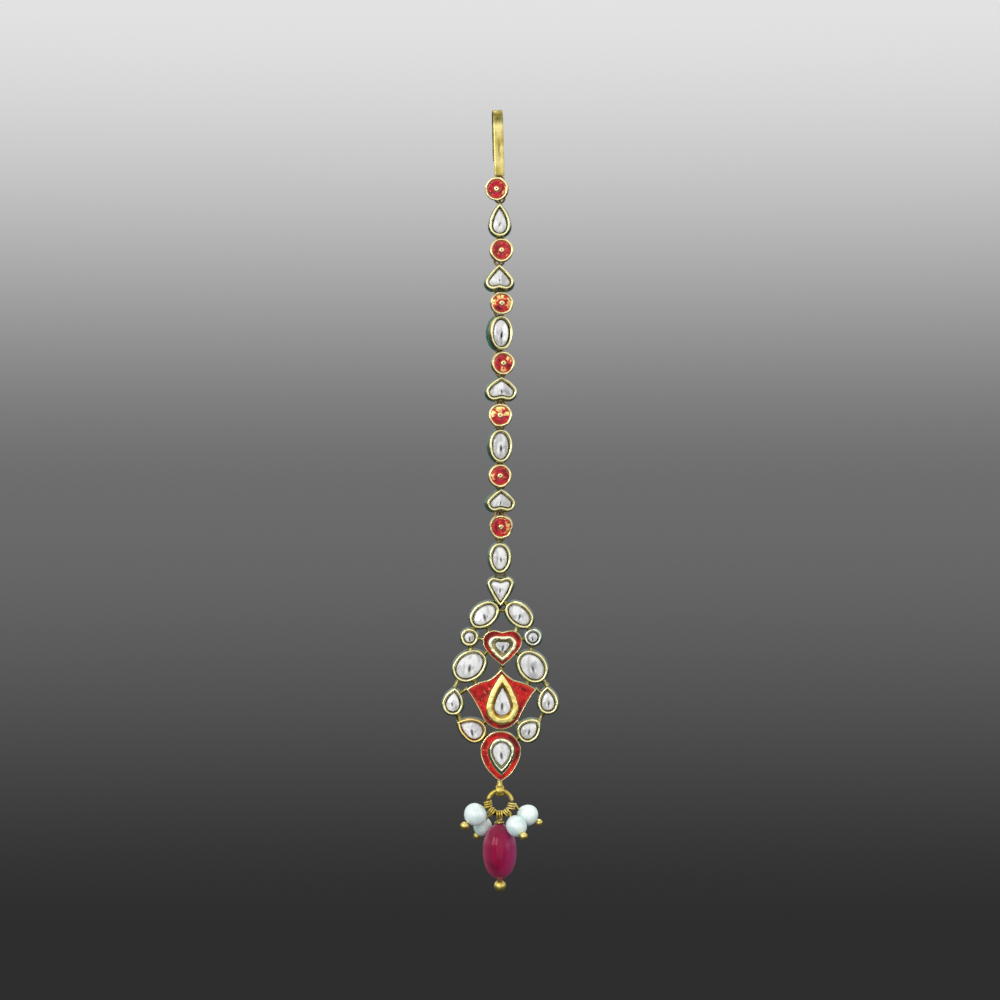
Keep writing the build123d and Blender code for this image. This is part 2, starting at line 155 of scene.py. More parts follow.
@dataclass(frozen=True)
class WornGold:
    """High-carat gold, pressed and burnished by hand.

    Soft gold takes a mirror where a burnisher rubs it and keeps small dents, so its high places are
    pale and bright and its body is a deeper yellow.  A brown colour in the low places stands for soil
    there and also paints the shade that falls in the hollows.
    """

    name: str
    polished: str
    body: str
    tarnish_and_shade: str
    roughness: float = 0.2
    patch_size: float = 1.8
    dent_size: float = 1.0
    dent_depth: float = 0.02

    def material(self) -> bpy.types.Material:
        """Builds the material, which reads two mesh attributes: soil together with painted shade in the
        hollows, and how burnished it is together with painted highlights.

        Returns:
            The material.
        """
        recipe = Recipe.for_material(self.name)
        place = recipe.add("TexCoord").outputs["Object"]
        patches = recipe.add("TexNoise", {"Vector": place, "Scale": per_mm(self.patch_size), "Detail": 3.0})
        dents = recipe.add("TexNoise", {"Vector": place, "Scale": per_mm(self.dent_size), "Detail": 2.0})
        # soil and painted shade: hollows, pockets and low places are painted dark
        grime_and_painted_light = recipe.add("Attribute", attribute_name="grime_and_painted_light").outputs["Fac"]
        burnish_and_highlight = recipe.add("Attribute", attribute_name="wear_and_painted_light").outputs["Fac"]
        patch = recipe.add("MapRange", {"Value": patches, "From Min": 0.36, "From Max": 0.56, "To Min": 0.3})
        tone = recipe.add("Math", {0: patch, 1: burnish_and_highlight}, operation="SUBTRACT", use_clamp=True)
        metal = recipe.add("Mix", {BLEND: tone, FIRST: self.polished, SECOND: self.body}, data_type="RGBA")
        uneven = recipe.add("MapRange", {"Value": dents, "From Min": 0.3, "From Max": 0.7, "To Min": 0.6,
                                         "To Max": 1.15})
        dirt_and_shade = recipe.add("Math", {0: grime_and_painted_light, 1: uneven}, operation="MULTIPLY", use_clamp=True)
        # the dark colour is tarnish and also painted shade in the hollows
        colour = recipe.add("Mix", {BLEND: dirt_and_shade, FIRST: metal, SECOND: self.tarnish_and_shade}, data_type="RGBA")
        dull = recipe.add("MapRange", {"Value": dirt_and_shade, "To Min": self.roughness,
                                       "To Max": self.roughness + 0.3})
        bump = recipe.add("Bump", {"Height": dents, "Distance": self.dent_depth * MM})
        return recipe.finish({"Base Color": colour, "Metallic": 1.0, "Roughness": dull, "Normal": bump})


@dataclass(frozen=True)
class FiredEnamel:
    """Translucent enamel, fired on gold and polished.

    It is glass, so it shines like glass, and light that comes back from the gold under it makes its
    thin places bright and its deep places dark.  Where it is chipped or rubbed thin the gold shows.
    """

    name: str
    deep: str
    bright: str
    thin: str
    gold: str
    streak_size: float = 0.7
    chip_size: float = 0.5
    wave_depth: float = 0.03

    def material(self) -> bpy.types.Material:
        """Builds the material, which reads two mesh attributes: thinness, and how worn it is, where a value
        below 0 paints it darker, as shade in the red cells.

        Returns:
            The material.
        """
        recipe = Recipe.for_material(self.name)
        place = recipe.add("TexCoord").outputs["Object"]
        streaks = recipe.add("TexNoise", {"Vector": place, "Scale": per_mm(self.streak_size), "Detail": 3.0,
                                          "Distortion": 0.8})
        thin = recipe.add("Attribute", attribute_name="grime_and_painted_light").outputs["Fac"]
        worn = recipe.add("Attribute", attribute_name="wear_and_painted_light").outputs["Fac"]
        cloud = recipe.add("MapRange", {"Value": streaks, "From Min": 0.34, "From Max": 0.6})
        # a value below 0 darkens the enamel: painted shade in the red cells
        light = recipe.add("Math", {0: cloud, 1: worn}, operation="ADD", use_clamp=True)
        glass = recipe.add("Mix", {BLEND: light, FIRST: self.deep, SECOND: self.bright}, data_type="RGBA")
        edge = recipe.add("Mix", {BLEND: thin, FIRST: glass, SECOND: self.thin}, data_type="RGBA")
        ragged = recipe.add("TexNoise", {"Vector": place, "Scale": per_mm(self.chip_size), "Detail": 4.0})
        torn = recipe.add("MapRange", {"Value": ragged, "From Min": 0.32, "From Max": 0.68})
        rubbed = recipe.add("Math", {0: worn, 1: torn}, operation="ADD")
        halo = recipe.add("MapRange", {"Value": rubbed, "From Min": 0.8, "From Max": 1.05})
        bare = recipe.add("MapRange", {"Value": rubbed, "From Min": 1.0, "From Max": 1.12})
        glow = recipe.add("Mix", {BLEND: halo, FIRST: edge, SECOND: self.thin}, data_type="RGBA")
        colour = recipe.add("Mix", {BLEND: bare, FIRST: glow, SECOND: self.gold}, data_type="RGBA")
        bump = recipe.add("Bump", {"Height": streaks, "Distance": self.wave_depth * MM})
        return recipe.finish({"Base Color": colour, "Metallic": bare, "Roughness": 0.12, "IOR": 1.52,
                              "Specular IOR Level": 0.25, "Normal": bump})


@dataclass(frozen=True)
class UncutDiamond:
    """A polki, a flat uncut diamond set over silver foil.

    The foil makes the whole stone pale.  A white highlight is painted on the bevel round its edge, and a
    short dark tick, painted as a reflection of something dark, sits between painted white highlights.
    """

    name: str
    foil: str
    shade: str
    # the next two colours are painted light: a white highlight and a dark reflection
    painted_highlight: str
    crease: str
    cloud_size: float = 1.5

    def material(self) -> bpy.types.Material:
        """Builds the material, which reads two mesh attributes: the painted highlight on the bevel, and the
        painted dark reflection, which below 0 gives the painted highlights beside it.

        Returns:
            The material.
        """
        recipe = Recipe.for_material(self.name)
        place = recipe.add("TexCoord").outputs["Object"]
        drawn = recipe.add("Mapping", {"Vector": place, "Scale": (1.0, 1.0, 0.45)})
        clouds = recipe.add("TexNoise", {"Vector": drawn, "Scale": per_mm(self.cloud_size), "Detail": 2.5,
                                         "Distortion": 1.2})
        # painted highlight on the bevel
        edge = recipe.add("Attribute", attribute_name="grime_and_painted_light").outputs["Fac"]
        crease = recipe.add("Attribute", attribute_name="wear_and_painted_light").outputs["Fac"]
        cloud = recipe.add("MapRange", {"Value": clouds, "From Min": 0.36, "From Max": 0.56})
        foil = recipe.add("Mix", {BLEND: cloud, FIRST: self.shade, SECOND: self.foil}, data_type="RGBA")
        # painted highlights beside the dark reflection
        lit = recipe.add("MapRange", {"Value": crease, "From Min": 0.0, "From Max": -1.0})
        bright = recipe.add("Math", {0: edge, 1: lit}, operation="MAXIMUM")
        highlighted = recipe.add("Mix", {BLEND: bright, FIRST: foil, SECOND: self.painted_highlight}, data_type="RGBA")
        # the painted dark reflection
        dark = recipe.add("MapRange", {"Value": crease, "From Min": 0.15, "From Max": 0.7})
        colour = recipe.add("Mix", {BLEND: dark, FIRST: highlighted, SECOND: self.crease}, data_type="RGBA")
        return recipe.finish({"Base Color": colour, "Roughness": 0.1, "IOR": 2.42})


@dataclass(frozen=True)
class Nacre:
    """Pearl: layers of nacre give a soft broad shine over a white body; shade is painted in a cooler tint at
    its edges.
    """

    name: str
    body: str
    cool_and_edge_shade: str
    band_size: float = 2.2

    def material(self) -> bpy.types.Material:
        """Builds the material.

        Returns:
            The material.
        """
        recipe = Recipe.for_material(self.name)
        place = recipe.add("TexCoord").outputs["Object"]
        bands = recipe.add("TexNoise", {"Vector": place, "Scale": per_mm(self.band_size), "Detail": 2.0})
        tone = recipe.add("MapRange", {"Value": bands, "From Min": 0.35, "From Max": 0.65})
        # painted shade: the edges turn to the cooler tint
        rim = recipe.add("LayerWeight", {"Blend": 0.3}).outputs["Facing"]
        body = recipe.add("Mix", {BLEND: tone, FIRST: self.body, SECOND: self.cool_and_edge_shade}, data_type="RGBA")
        colour = recipe.add("Mix", {BLEND: rim, FIRST: body, SECOND: self.cool_and_edge_shade}, data_type="RGBA")
        return recipe.finish({"Base Color": colour, "Roughness": 0.3, "IOR": 1.53, "Coat Weight": 0.4,
                              "Coat Roughness": 0.12})


@dataclass(frozen=True)
class PolishedRuby:
    """A polished ruby bead, whose red is deep in the middle and violet where light leaks out."""

    name: str
    deep: str
    body: str
    violet: str
    edge: str
    silk_size: float = 1.8

    def material(self) -> bpy.types.Material:
        """Builds the material, which reads one mesh attribute as the share of violet, painted on the right
        side of the bead as light leaking out.

        Returns:
            The material.
        """
        recipe = Recipe.for_material(self.name)
        place = recipe.add("TexCoord").outputs["Object"]
        drawn = recipe.add("Mapping", {"Vector": place, "Scale": (1.0, 1.0, 0.4)})
        silk = recipe.add("TexNoise", {"Vector": drawn, "Scale": per_mm(self.silk_size), "Detail": 4.0,
                                       "Distortion": 0.6})
        side = recipe.add("Attribute", attribute_name="grime_and_painted_light").outputs["Fac"]
        cloud = recipe.add("MapRange", {"Value": silk, "From Min": 0.25, "From Max": 0.65})
        core = recipe.add("Mix", {BLEND: cloud, FIRST: self.deep, SECOND: self.body}, data_type="RGBA")
        warm = recipe.add("Mix", {BLEND: side, FIRST: core, SECOND: self.violet}, data_type="RGBA")
        # a pale violet painted along the grazing edges: a painted reflection
        rim = recipe.add("LayerWeight", {"Blend": 0.06}).outputs["Facing"]
        colour = recipe.add("Mix", {BLEND: rim, FIRST: warm, SECOND: self.edge}, data_type="RGBA")
        return recipe.finish({"Base Color": colour, "Roughness": 0.15, "IOR": 1.77,
                              "Specular IOR Level": 0.1})


# --- Meshes --------------------------------------------------------------------------------------


def waves(angles: np.ndarray, seed: int, slowest: int = 2, fastest: int = 8) -> np.ndarray:
    """Smooth handmade unevenness round a closed outline.

    Args:
        angles: ray angles, in radians.
        seed: which unevenness.
        slowest: fewest waves round the outline.
        fastest: most waves round the outline.

    Returns:
        One value for each ray, mostly between -1 and 1.
    """
    draw = np.random.default_rng(seed)
    total = np.zeros_like(angles)
    for count in range(slowest, fastest + 1):
        total += draw.normal() * np.sin(count * angles + draw.uniform(0, math.tau)) / math.sqrt(count)
    return total / math.sqrt(fastest - slowest + 1)


def ramp(value: np.ndarray | float, start: float, end: float) -> np.ndarray:
    """0 up to the start and 1 beyond the end, with an even climb between."""
    return np.clip((value - start) / (end - start), 0, 1)


def degrees_apart(directions: np.ndarray, other: float) -> np.ndarray:
    """Angles, in degrees, between directions in degrees and another one."""
    return np.abs((directions - other + 180) % 360 - 180)


def blot(across: np.ndarray, up: np.ndarray, width: float, height: float) -> np.ndarray:
    """A soft blot: 1 where both distances are 0, fading out over a width and a height."""
    return np.exp(-(across / width) ** 2 - (up / height) ** 2)


def unevenness(points: np.ndarray, amount: float, size: float, seed: float) -> np.ndarray:
    """Moves points by a smooth field, the same for neighbours, so that pieces stay fitted.

    Args:
        points: N by 3, in millimetres.
        amount: largest move.
        size: distance over which the field changes.
        seed: which field.

    Returns:
        The moved points.
    """
    shift = [noise.noise_vector(Vector(p / size) + Vector((seed, 2 * seed, 3 * seed))) for p in points]
    return points + np.array(shift) * amount


@dataclass
class Draft:
    """Closed surfaces that are gathered into one mesh."""

    # Handmade unevenness: over what distance it changes, and which field it is
    BROAD_FIELD = (1.5, 3.7)
    FINE_FIELD = (0.5, 9.1)

    points: list[np.ndarray] = field(default_factory=list)
    grime_and_painted_light: list[np.ndarray] = field(default_factory=list)
    wear_and_painted_light: list[np.ndarray] = field(default_factory=list)
    faces: list[tuple[int, ...]] = field(default_factory=list)
    finishes: list[int] = field(default_factory=list)
    count: int = 0

    def add_rings(self, rings: np.ndarray, grime_and_painted_light: np.ndarray | float = 0.0, wear_and_painted_light: np.ndarray | float = 0.0,
                  finishes: list[int] | int = 0, capped: bool = True) -> None:
        """Adds a surface through rings of points, wound right-handed about the way that they follow.

        Args:
            rings: R by N by 3.
            grime_and_painted_light: R by N, R by 1 or one value.
            wear_and_painted_light: the same.
            finishes: the material of each band of faces, or of all.
            capped: closes both ends; if False, the last ring joins the first.
        """
        layers, around = rings.shape[:2]
        bands = layers - 1 if capped else layers
        if isinstance(finishes, int):
            finishes = [finishes] * bands
        start = self.count
        for band in range(bands):
            low, high = start + band * around, start + (band + 1) % layers * around
            for j in range(around):
                k = (j + 1) % around
                self.faces.append((low + j, low + k, high + k, high + j))
            self.finishes += [finishes[band]] * around
        grime_and_painted_light = np.broadcast_to(grime_and_painted_light, (layers, around)).ravel()
        wear_and_painted_light = np.broadcast_to(wear_and_painted_light, (layers, around)).ravel()
        points = rings.reshape(-1, 3)
        if capped:
            first, last = start + layers * around, start + layers * around + 1
            top = start + (layers - 1) * around
            for j in range(around):
                k = (j + 1) % around
                self.faces += [(first, start + k, start + j), (last, top + j, top + k)]
                self.finishes += [finishes[0], finishes[-1]]
            points = np.vstack([points, rings[0].mean(0), rings[-1].mean(0)])
            grime_and_painted_light = np.concatenate([grime_and_painted_light, [grime_and_painted_light[0], grime_and_painted_light[-1]]])
            wear_and_painted_light = np.concatenate([wear_and_painted_light, [wear_and_painted_light[0], wear_and_painted_light[-1]]])
        self.points.append(points)
        self.grime_and_painted_light.append(grime_and_painted_light)
        self.wear_and_painted_light.append(wear_and_painted_light)
        self.count += len(points)

    def add_wire(self, path: np.ndarray, radius: float, grime_and_painted_light: np.ndarray | float = 0.0, closed: bool = False,
                 around: int = 14) -> None:
        """Adds a round wire along a path.

        Args:
            path: P by 3.
            radius: the wire's radius.
            grime_and_painted_light: how soiled it is and how much painted shade it has, or one value for each
                point.
            closed: joins the ends, as in a ring.
            around: points round the wire.
        """
        dirt_and_shade = np.broadcast_to(grime_and_painted_light, len(path))[:, None]
        self.add_rings(swept(path, circle(around) * radius, closed), dirt_and_shade, capped=not closed)

    def add_turned(self, centre: np.ndarray, axis: np.ndarray, profile: list[tuple[float, float]],
                   grime_and_painted_light: list[float] | float = 0.0, wear_and_painted_light: list[float] | float = 0.0, closed: bool = False,
                   around: int = 40, finish: int = 0) -> None:
        """Adds a turned form.

        Args:
            centre: the point that the profile counts from.
            axis: direction of the turning axis.
            profile: radius and distance along the axis, in the axis's direction.
            grime_and_painted_light: one value, or one for each profile point.
            wear_and_painted_light: the same.
            closed: the profile is a closed loop, as in a ring.
            around: points round the axis.
            finish: the material.
        """
        along = axis / np.linalg.norm(axis)
        across, up = square_to(along)
        section = circle(around)
        rings = np.array([centre + along * run + (section[:, :1] * across + section[:, 1:] * up) * reach
                          for reach, run in profile])
        dirt_and_shade = np.broadcast_to(grime_and_painted_light, len(profile))[:, None]
        rubbed = np.broadcast_to(wear_and_painted_light, len(profile))[:, None]
        self.add_rings(rings, dirt_and_shade, rubbed, finish, not closed)

    def make(self, name: str, materials: list[bpy.types.Material], body: str, slot: str, nodes: list[str],
             rough: float = 0.035, fine: float = 0.007, crease: float = 38) -> bpy.types.Object:
        """Writes the mesh as a piece of the ornament.

        Args:
            name: the piece's name.
            materials: its materials, in the order of the finishes.
            body: the CAD body that it rides on.
            slot: the name of a material slot; not used.
            nodes: the CAD nodes that it stands for.
            rough: how far the handmade unevenness moves the surface.
            fine: how far small dents move it.
            crease: angle, in degrees, above which an edge is sharp.

        Returns:
            The new object.
        """
        points = np.vstack(self.points)
        points = unevenness(points, rough, *self.BROAD_FIELD)
        points = unevenness(points, fine, *self.FINE_FIELD)
        mesh = bpy.data.meshes.new(name)
        mesh.from_pydata((points * MM).tolist(), [], self.faces)
        for title, values in (("grime_and_painted_light", self.grime_and_painted_light), ("wear_and_painted_light", self.wear_and_painted_light)):
            layer = mesh.attributes.new(title, "FLOAT", "POINT")
            layer.data.foreach_set("value", np.concatenate(values).astype(np.float32))
        for material in materials:
            mesh.materials.append(material)
        mesh.polygons.foreach_set("material_index", self.finishes)
        mesh.polygons.foreach_set("use_smooth", [True] * len(mesh.polygons))
        mesh.set_sharp_from_angle(angle=math.radians(crease))
        mesh.update()
        piece = bpy.data.objects.new(name, mesh)
        bpy.context.scene.collection.objects.link(piece)
        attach(piece, body)
        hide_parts(*nodes)
        log.info("%s: %d faces on %s", name, len(mesh.polygons), body)
        return piece


def circle(around: int) -> np.ndarray:
    """Unit circle as N by 2 points."""
    angles = np.linspace(0, math.tau, around, endpoint=False)
    return np.stack([np.cos(angles), np.sin(angles)], 1)


def square_to(along: np.ndarray) -> tuple[np.ndarray, np.ndarray]:
    """Two unit vectors that make a right-handed set with a direction.

    Args:
        along: a unit vector.

    Returns:
        The first and second vector.
    """
    helper = UP if abs(along[2]) < 0.9 else RIGHT
    across = np.cross(helper, along)
    across /= np.linalg.norm(across)
    return across, np.cross(along, across)


def column(table: Table, number: int) -> np.ndarray:
    """One column of a profile, as a value for each ring."""
    return np.array([[row[number]] for row in table])


def swept(path: np.ndarray, section: np.ndarray, closed: bool,
          first: np.ndarray | None = None) -> np.ndarray:
    """Carries a section along a path without twisting it.

    Args:
        path: P by 3.
        section: N by 2.
        closed: the path joins up.
        first: direction of the section's first axis at the start, if it matters.

    Returns:
        P by N by 3 points.
    """
    if closed:
        tangents = np.roll(path, -1, 0) - np.roll(path, 1, 0)
    else:
        tangents = np.gradient(path, axis=0)
    tangents /= np.linalg.norm(tangents, axis=1)[:, None]
    across = square_to(tangents[0])[0] if first is None else first
    rings = []
    for point, tangent in zip(path, tangents):
        across = across - tangent * across.dot(tangent)
        across /= np.linalg.norm(across)
        up = np.cross(tangent, across)
        rings.append(point + section[:, :1] * across + section[:, 1:] * up)
    return np.array(rings)


def evened(points: np.ndarray, count: int, passes: int = 4) -> np.ndarray:
    """Spreads points evenly along an open stretch and takes the flats out of its curves.

    Args:
        points: the stretch between two corners, N by 2.
        count: how many points, with both ends.
        passes: how many times the curves are smoothed.

    Returns:
        count by 2 points.
    """
    run = np.concatenate([[0], np.cumsum(np.linalg.norm(np.diff(points, axis=0), axis=1))])
    wanted = np.linspace(0, run[-1], count)
    even = np.stack([np.interp(wanted, run, points[:, axis]) for axis in (0, 1)], 1)
    for _ in range(passes):
        even[1:-1] = (even[:-2] + 2 * even[1:-1] + even[2:]) / 4
    return even


class Outline:
    """The outline of a flat-backed CAD piece, seen square on, with rays from its middle."""

    CORNER_TURN = math.radians(24)   # a sharper turn is a corner
    SHORTEST = 4             # fewest points between two corners
    TIP_RUN = 1.55           # a pointed corner moves this much for each unit that its sides move

    def __init__(self, node: str, base: float, hole: bool = False, rays: int = 144) -> None:
        """Reads the outline of a piece's back.

        Args:
            node: the CAD node.
            base: height of the node's back above the box's back plate.
            hole: reads the hole's outline, not the outer one.
            rays: how many rays.
        """
        self.base = base
        normal, loops = self.read(node)
        self.normal = normal
        self.across = np.cross(UP, normal)
        self.across /= np.linalg.norm(self.across)
        self.up = np.cross(normal, self.across)
        loops.sort(key=lambda loop: np.ptp(loop, axis=0).sum(), reverse=True)
        self.origin = loops[0].mean(0)
        loop = loops[1 if hole else 0]
        flat = np.stack([(loop - self.origin) @ self.across, (loop - self.origin) @ self.up], 1)
        self.polygon = self.resample(self.anticlockwise(flat), rays)
        middle = self.middle_of(self.polygon)
        self.start_from(self.origin + self.across * middle[0] + self.up * middle[1])

    @staticmethod
    def read(node: str) -> tuple[np.ndarray, list[np.ndarray]]:
        """Finds a node's flat back.

        Args:
            node: the CAD node.

        Returns:
            The direction that the piece faces, and the closed edge loops of its back.
        """
        mesh = bmesh.new()
        mesh.from_mesh(frame["nodes"][node].data)
        bmesh.ops.remove_doubles(mesh, verts=mesh.verts, dist=1e-7)
        facing = [face for face in mesh.faces if face.normal.y > 0.9]
        lean = sum((face.normal * face.calc_area() for face in facing), Vector()).normalized()
        back = {face for face in facing if face.normal.dot(lean) > 0.999}
        follow = {}
        for edge in mesh.edges:
            inside = [face for face in edge.link_faces if face in back]
            if len(inside) == 1:
                a, b = edge.verts
                follow.setdefault(a, []).append(b)
                follow.setdefault(b, []).append(a)
        loops = []
        while follow:
            start = next(iter(follow))
            loop, previous, here = [start], None, start
            while True:
                ahead = [vert for vert in follow.pop(here) if vert is not previous]
                previous, here = here, ahead[0]
                if here is start or here not in follow:
                    break
                loop.append(here)
            loops.append(np.array([vert.co[:] for vert in loop]) / MM)
        mesh.free()
        return -np.array(lean), loops

    @staticmethod
    def anticlockwise(points: np.ndarray) -> np.ndarray:
        """Turns a closed outline so that it runs anticlockwise, seen from the front.

        Args:
            points: the outline, N by 2.

        Returns:
            The same points, in that order.
        """
        ahead = np.roll(points, -1, 0)
        area = (points[:, 0] * ahead[:, 1] - ahead[:, 0] * points[:, 1]).sum()
        return points if area > 0 else points[::-1]

    @staticmethod
    def middle_of(points: np.ndarray) -> np.ndarray:
        """Finds the centre of area of a closed outline.

        Args:
            points: the outline, N by 2.

        Returns:
            The centre, across and up.
        """
        ahead = np.roll(points, -1, 0)
        cross = points[:, 0] * ahead[:, 1] - ahead[:, 0] * points[:, 1]
        return ((points + ahead) * cross[:, None]).sum(0) / (3 * cross.sum())

    @staticmethod
    def resample(points: np.ndarray, rays: int) -> np.ndarray:
        """Spreads points evenly round an outline and keeps its corners.

        Args:
            points: the closed outline.
            rays: about how many points are wanted.

        Returns:
            The new outline.
        """
        into = points - np.roll(points, 1, 0)
        out = np.roll(points, -1, 0) - points
        turn = np.abs(np.arctan2(into[:, 0] * out[:, 1] - into[:, 1] * out[:, 0], (into * out).sum(1)))
        corners = list(np.flatnonzero(turn > Outline.CORNER_TURN)) or [0]
        total = np.linalg.norm(out, axis=1).sum()
        made = []
        for here, there in zip(corners, corners[1:] + [corners[0] + len(points)]):
            stretch = points[np.arange(here, there + 1) % len(points)]
            length = np.linalg.norm(np.diff(stretch, axis=0), axis=1).sum()
            made.append(evened(stretch, max(Outline.SHORTEST, round(rays * length / total)) + 1)[:-1])
        return np.vstack(made)

    def start_from(self, origin: np.ndarray) -> None:
        """Starts the rays at another point.

        Args:
            origin: the point, which must see the whole outline.
        """
        shift = origin - self.origin
        flat = np.array([shift @ self.across, shift @ self.up])
        self.origin = self.origin + self.across * flat[0] + self.up * flat[1]
        self.polygon = self.polygon - flat
        self.rays = self.polygon / np.linalg.norm(self.polygon, axis=1)[:, None]
        self.angles = np.arctan2(self.rays[:, 1], self.rays[:, 0])

    def offset(self, distance: float) -> np.ndarray:
        """Moves the outline outwards and keeps its corners.

        Args:
            distance: how far, or below 0 to move it inwards.

        Returns:
            The moved outline, N by 2.
        """
        out = np.roll(self.polygon, -1, 0) - self.polygon
        out /= np.linalg.norm(out, axis=1)[:, None]
        normals = np.stack([out[:, 1], -out[:, 0]], 1)
        before = np.roll(normals, 1, 0)
        mitre = (normals + before) / (1 + (normals * before).sum(1))[:, None].clip(0.2)
        length = np.linalg.norm(mitre, axis=1)
        mitre *= (length.clip(None, self.TIP_RUN) / length)[:, None]
        return self.polygon + mitre * distance

    def reach(self, distance: float = 0.0, other: "Outline | None" = None) -> np.ndarray:
        """How far each ray runs to an outline.

        Args:
            distance: how far that outline is moved outwards.
            other: an outline in the same plane, if not this one.

        Returns:
            One length for each ray.
        """
        edge = (other or self).offset(distance)
        if other is not None:
            shift = other.origin - self.origin
            edge = edge + np.array([shift @ self.across, shift @ self.up])
        ahead = np.roll(edge, -1, 0) - edge
        cross = self.rays[:, :1] * ahead[None, :, 1] - self.rays[:, 1:] * ahead[None, :, 0]
        cross = np.where(np.abs(cross) < 1e-9, 1e-9, cross)
        along = (edge[None, :, 0] * ahead[None, :, 1] - edge[None, :, 1] * ahead[None, :, 0]) / cross
        share = (edge[None, :, 0] * self.rays[:, 1:] - edge[None, :, 1] * self.rays[:, :1]) / cross
        hit = (share >= -1e-6) & (share <= 1 + 1e-6) & (along > 0)
        return np.where(hit, along, 0).max(1)

    def ring(self, reach: np.ndarray, height: np.ndarray | float) -> np.ndarray:
        """Places a point on each ray.

        Args:
            reach: how far along each ray.
            height: height above the back plate.

        Returns:
            The points, N by 3.
        """
        rise = np.broadcast_to(height, len(self.rays)) - self.base
        return (self.origin + (reach * self.rays[:, 0])[:, None] * self.across
                + (reach * self.rays[:, 1])[:, None] * self.up + rise[:, None] * self.normal)

    def point(self, x: float, y: float, height: float) -> np.ndarray:
        """A point beside the outline's middle, at a height above the back plate."""
        return self.origin + self.across * x + self.up * y + self.normal * (height - self.base)


# --- The palette ---------------------------------------------------------------------------------


class Slot(Enum):
    """Names of the material slots."""

    HOOK = "hook_gold"
    BOX = "box_gold"
    WIRE = "wire_gold"
    STONE = "polki"
    ENAMEL = "red_enamel"
    RUBY = "ruby"
    PEARL = "pearl"


class Palette:
    """Every finish of the ornament, made once."""

    def __init__(self) -> None:
        """Builds the materials."""
        # the third colour of each gold is tarnish, and also painted shade in its hollows
        self.strip = WornGold("worn_gold_strip", "#EADC92", "#BEA952", "#3A3C16", 0.3, 2.4).material()
        self.box = WornGold("burnished_gold_sheet", "#FFF8BC", "#CABA62", "#2C2A0C", 0.27).material()
        self.cup = WornGold("warm_gold_sheet", "#FFEDB0", "#E6BC66", "#4A2A0A", 0.28).material()
        self.amber = WornGold("orange_gold_sheet", "#FFE08C", "#E29A30", "#5A3006", 0.28).material()
        self.silvery = WornGold("rubbed_pale_gold", "#ECF0DC", "#A8B498", "#20342A", 0.28).material()
        self.cream = WornGold("pale_gold_leaf", "#FFFAD0", "#E9DC92", "#343618", 0.36,
                              dent_depth=0.04).material()
        self.leaf = WornGold("pressed_gold_leaf", "#FFF29A", "#E8C854", "#8A4A0C", 0.34, dent_size=0.9,
                             dent_depth=0.05).material()
        self.wire = WornGold("drawn_gold_wire", "#FFF0A4", "#DAC25C", "#3E2C08", 0.44).material()
        self.foot = FiredEnamel("green_enamel", "#08342A", "#1E6456", "#7CA496", "#C9B860", 1.0).material()
        self.red = FiredEnamel("scarlet_enamel", "#66040A", "#D81A12", "#F07850", "#F0D080", 1.7).material()
        self.crimson = FiredEnamel("crimson_enamel", "#5A0610", "#BE1C32", "#F07C48", "#FFDC8C",
                                   1.0).material()
        # the stone's last two colours are painted light: a white highlight and a dark reflection
        self.stone = UncutDiamond("uncut_diamond", "#DEDEDE", "#A0A0A4", "#FBFAF6", "#1E1E24").material()
        # the pearl's second colour is also painted shade at its edges
        self.pearl = Nacre("nacre", "#FAFFFE", "#D0EAE6").material()
        # the ruby's last colour is a painted reflection along its grazing edges
        self.ruby = PolishedRuby("polished_ruby", "#6E082C", "#A00C40", "#962460", "#DCB0D0").material()


# --- Boxes and stones ----------------------------------------------------------------------------


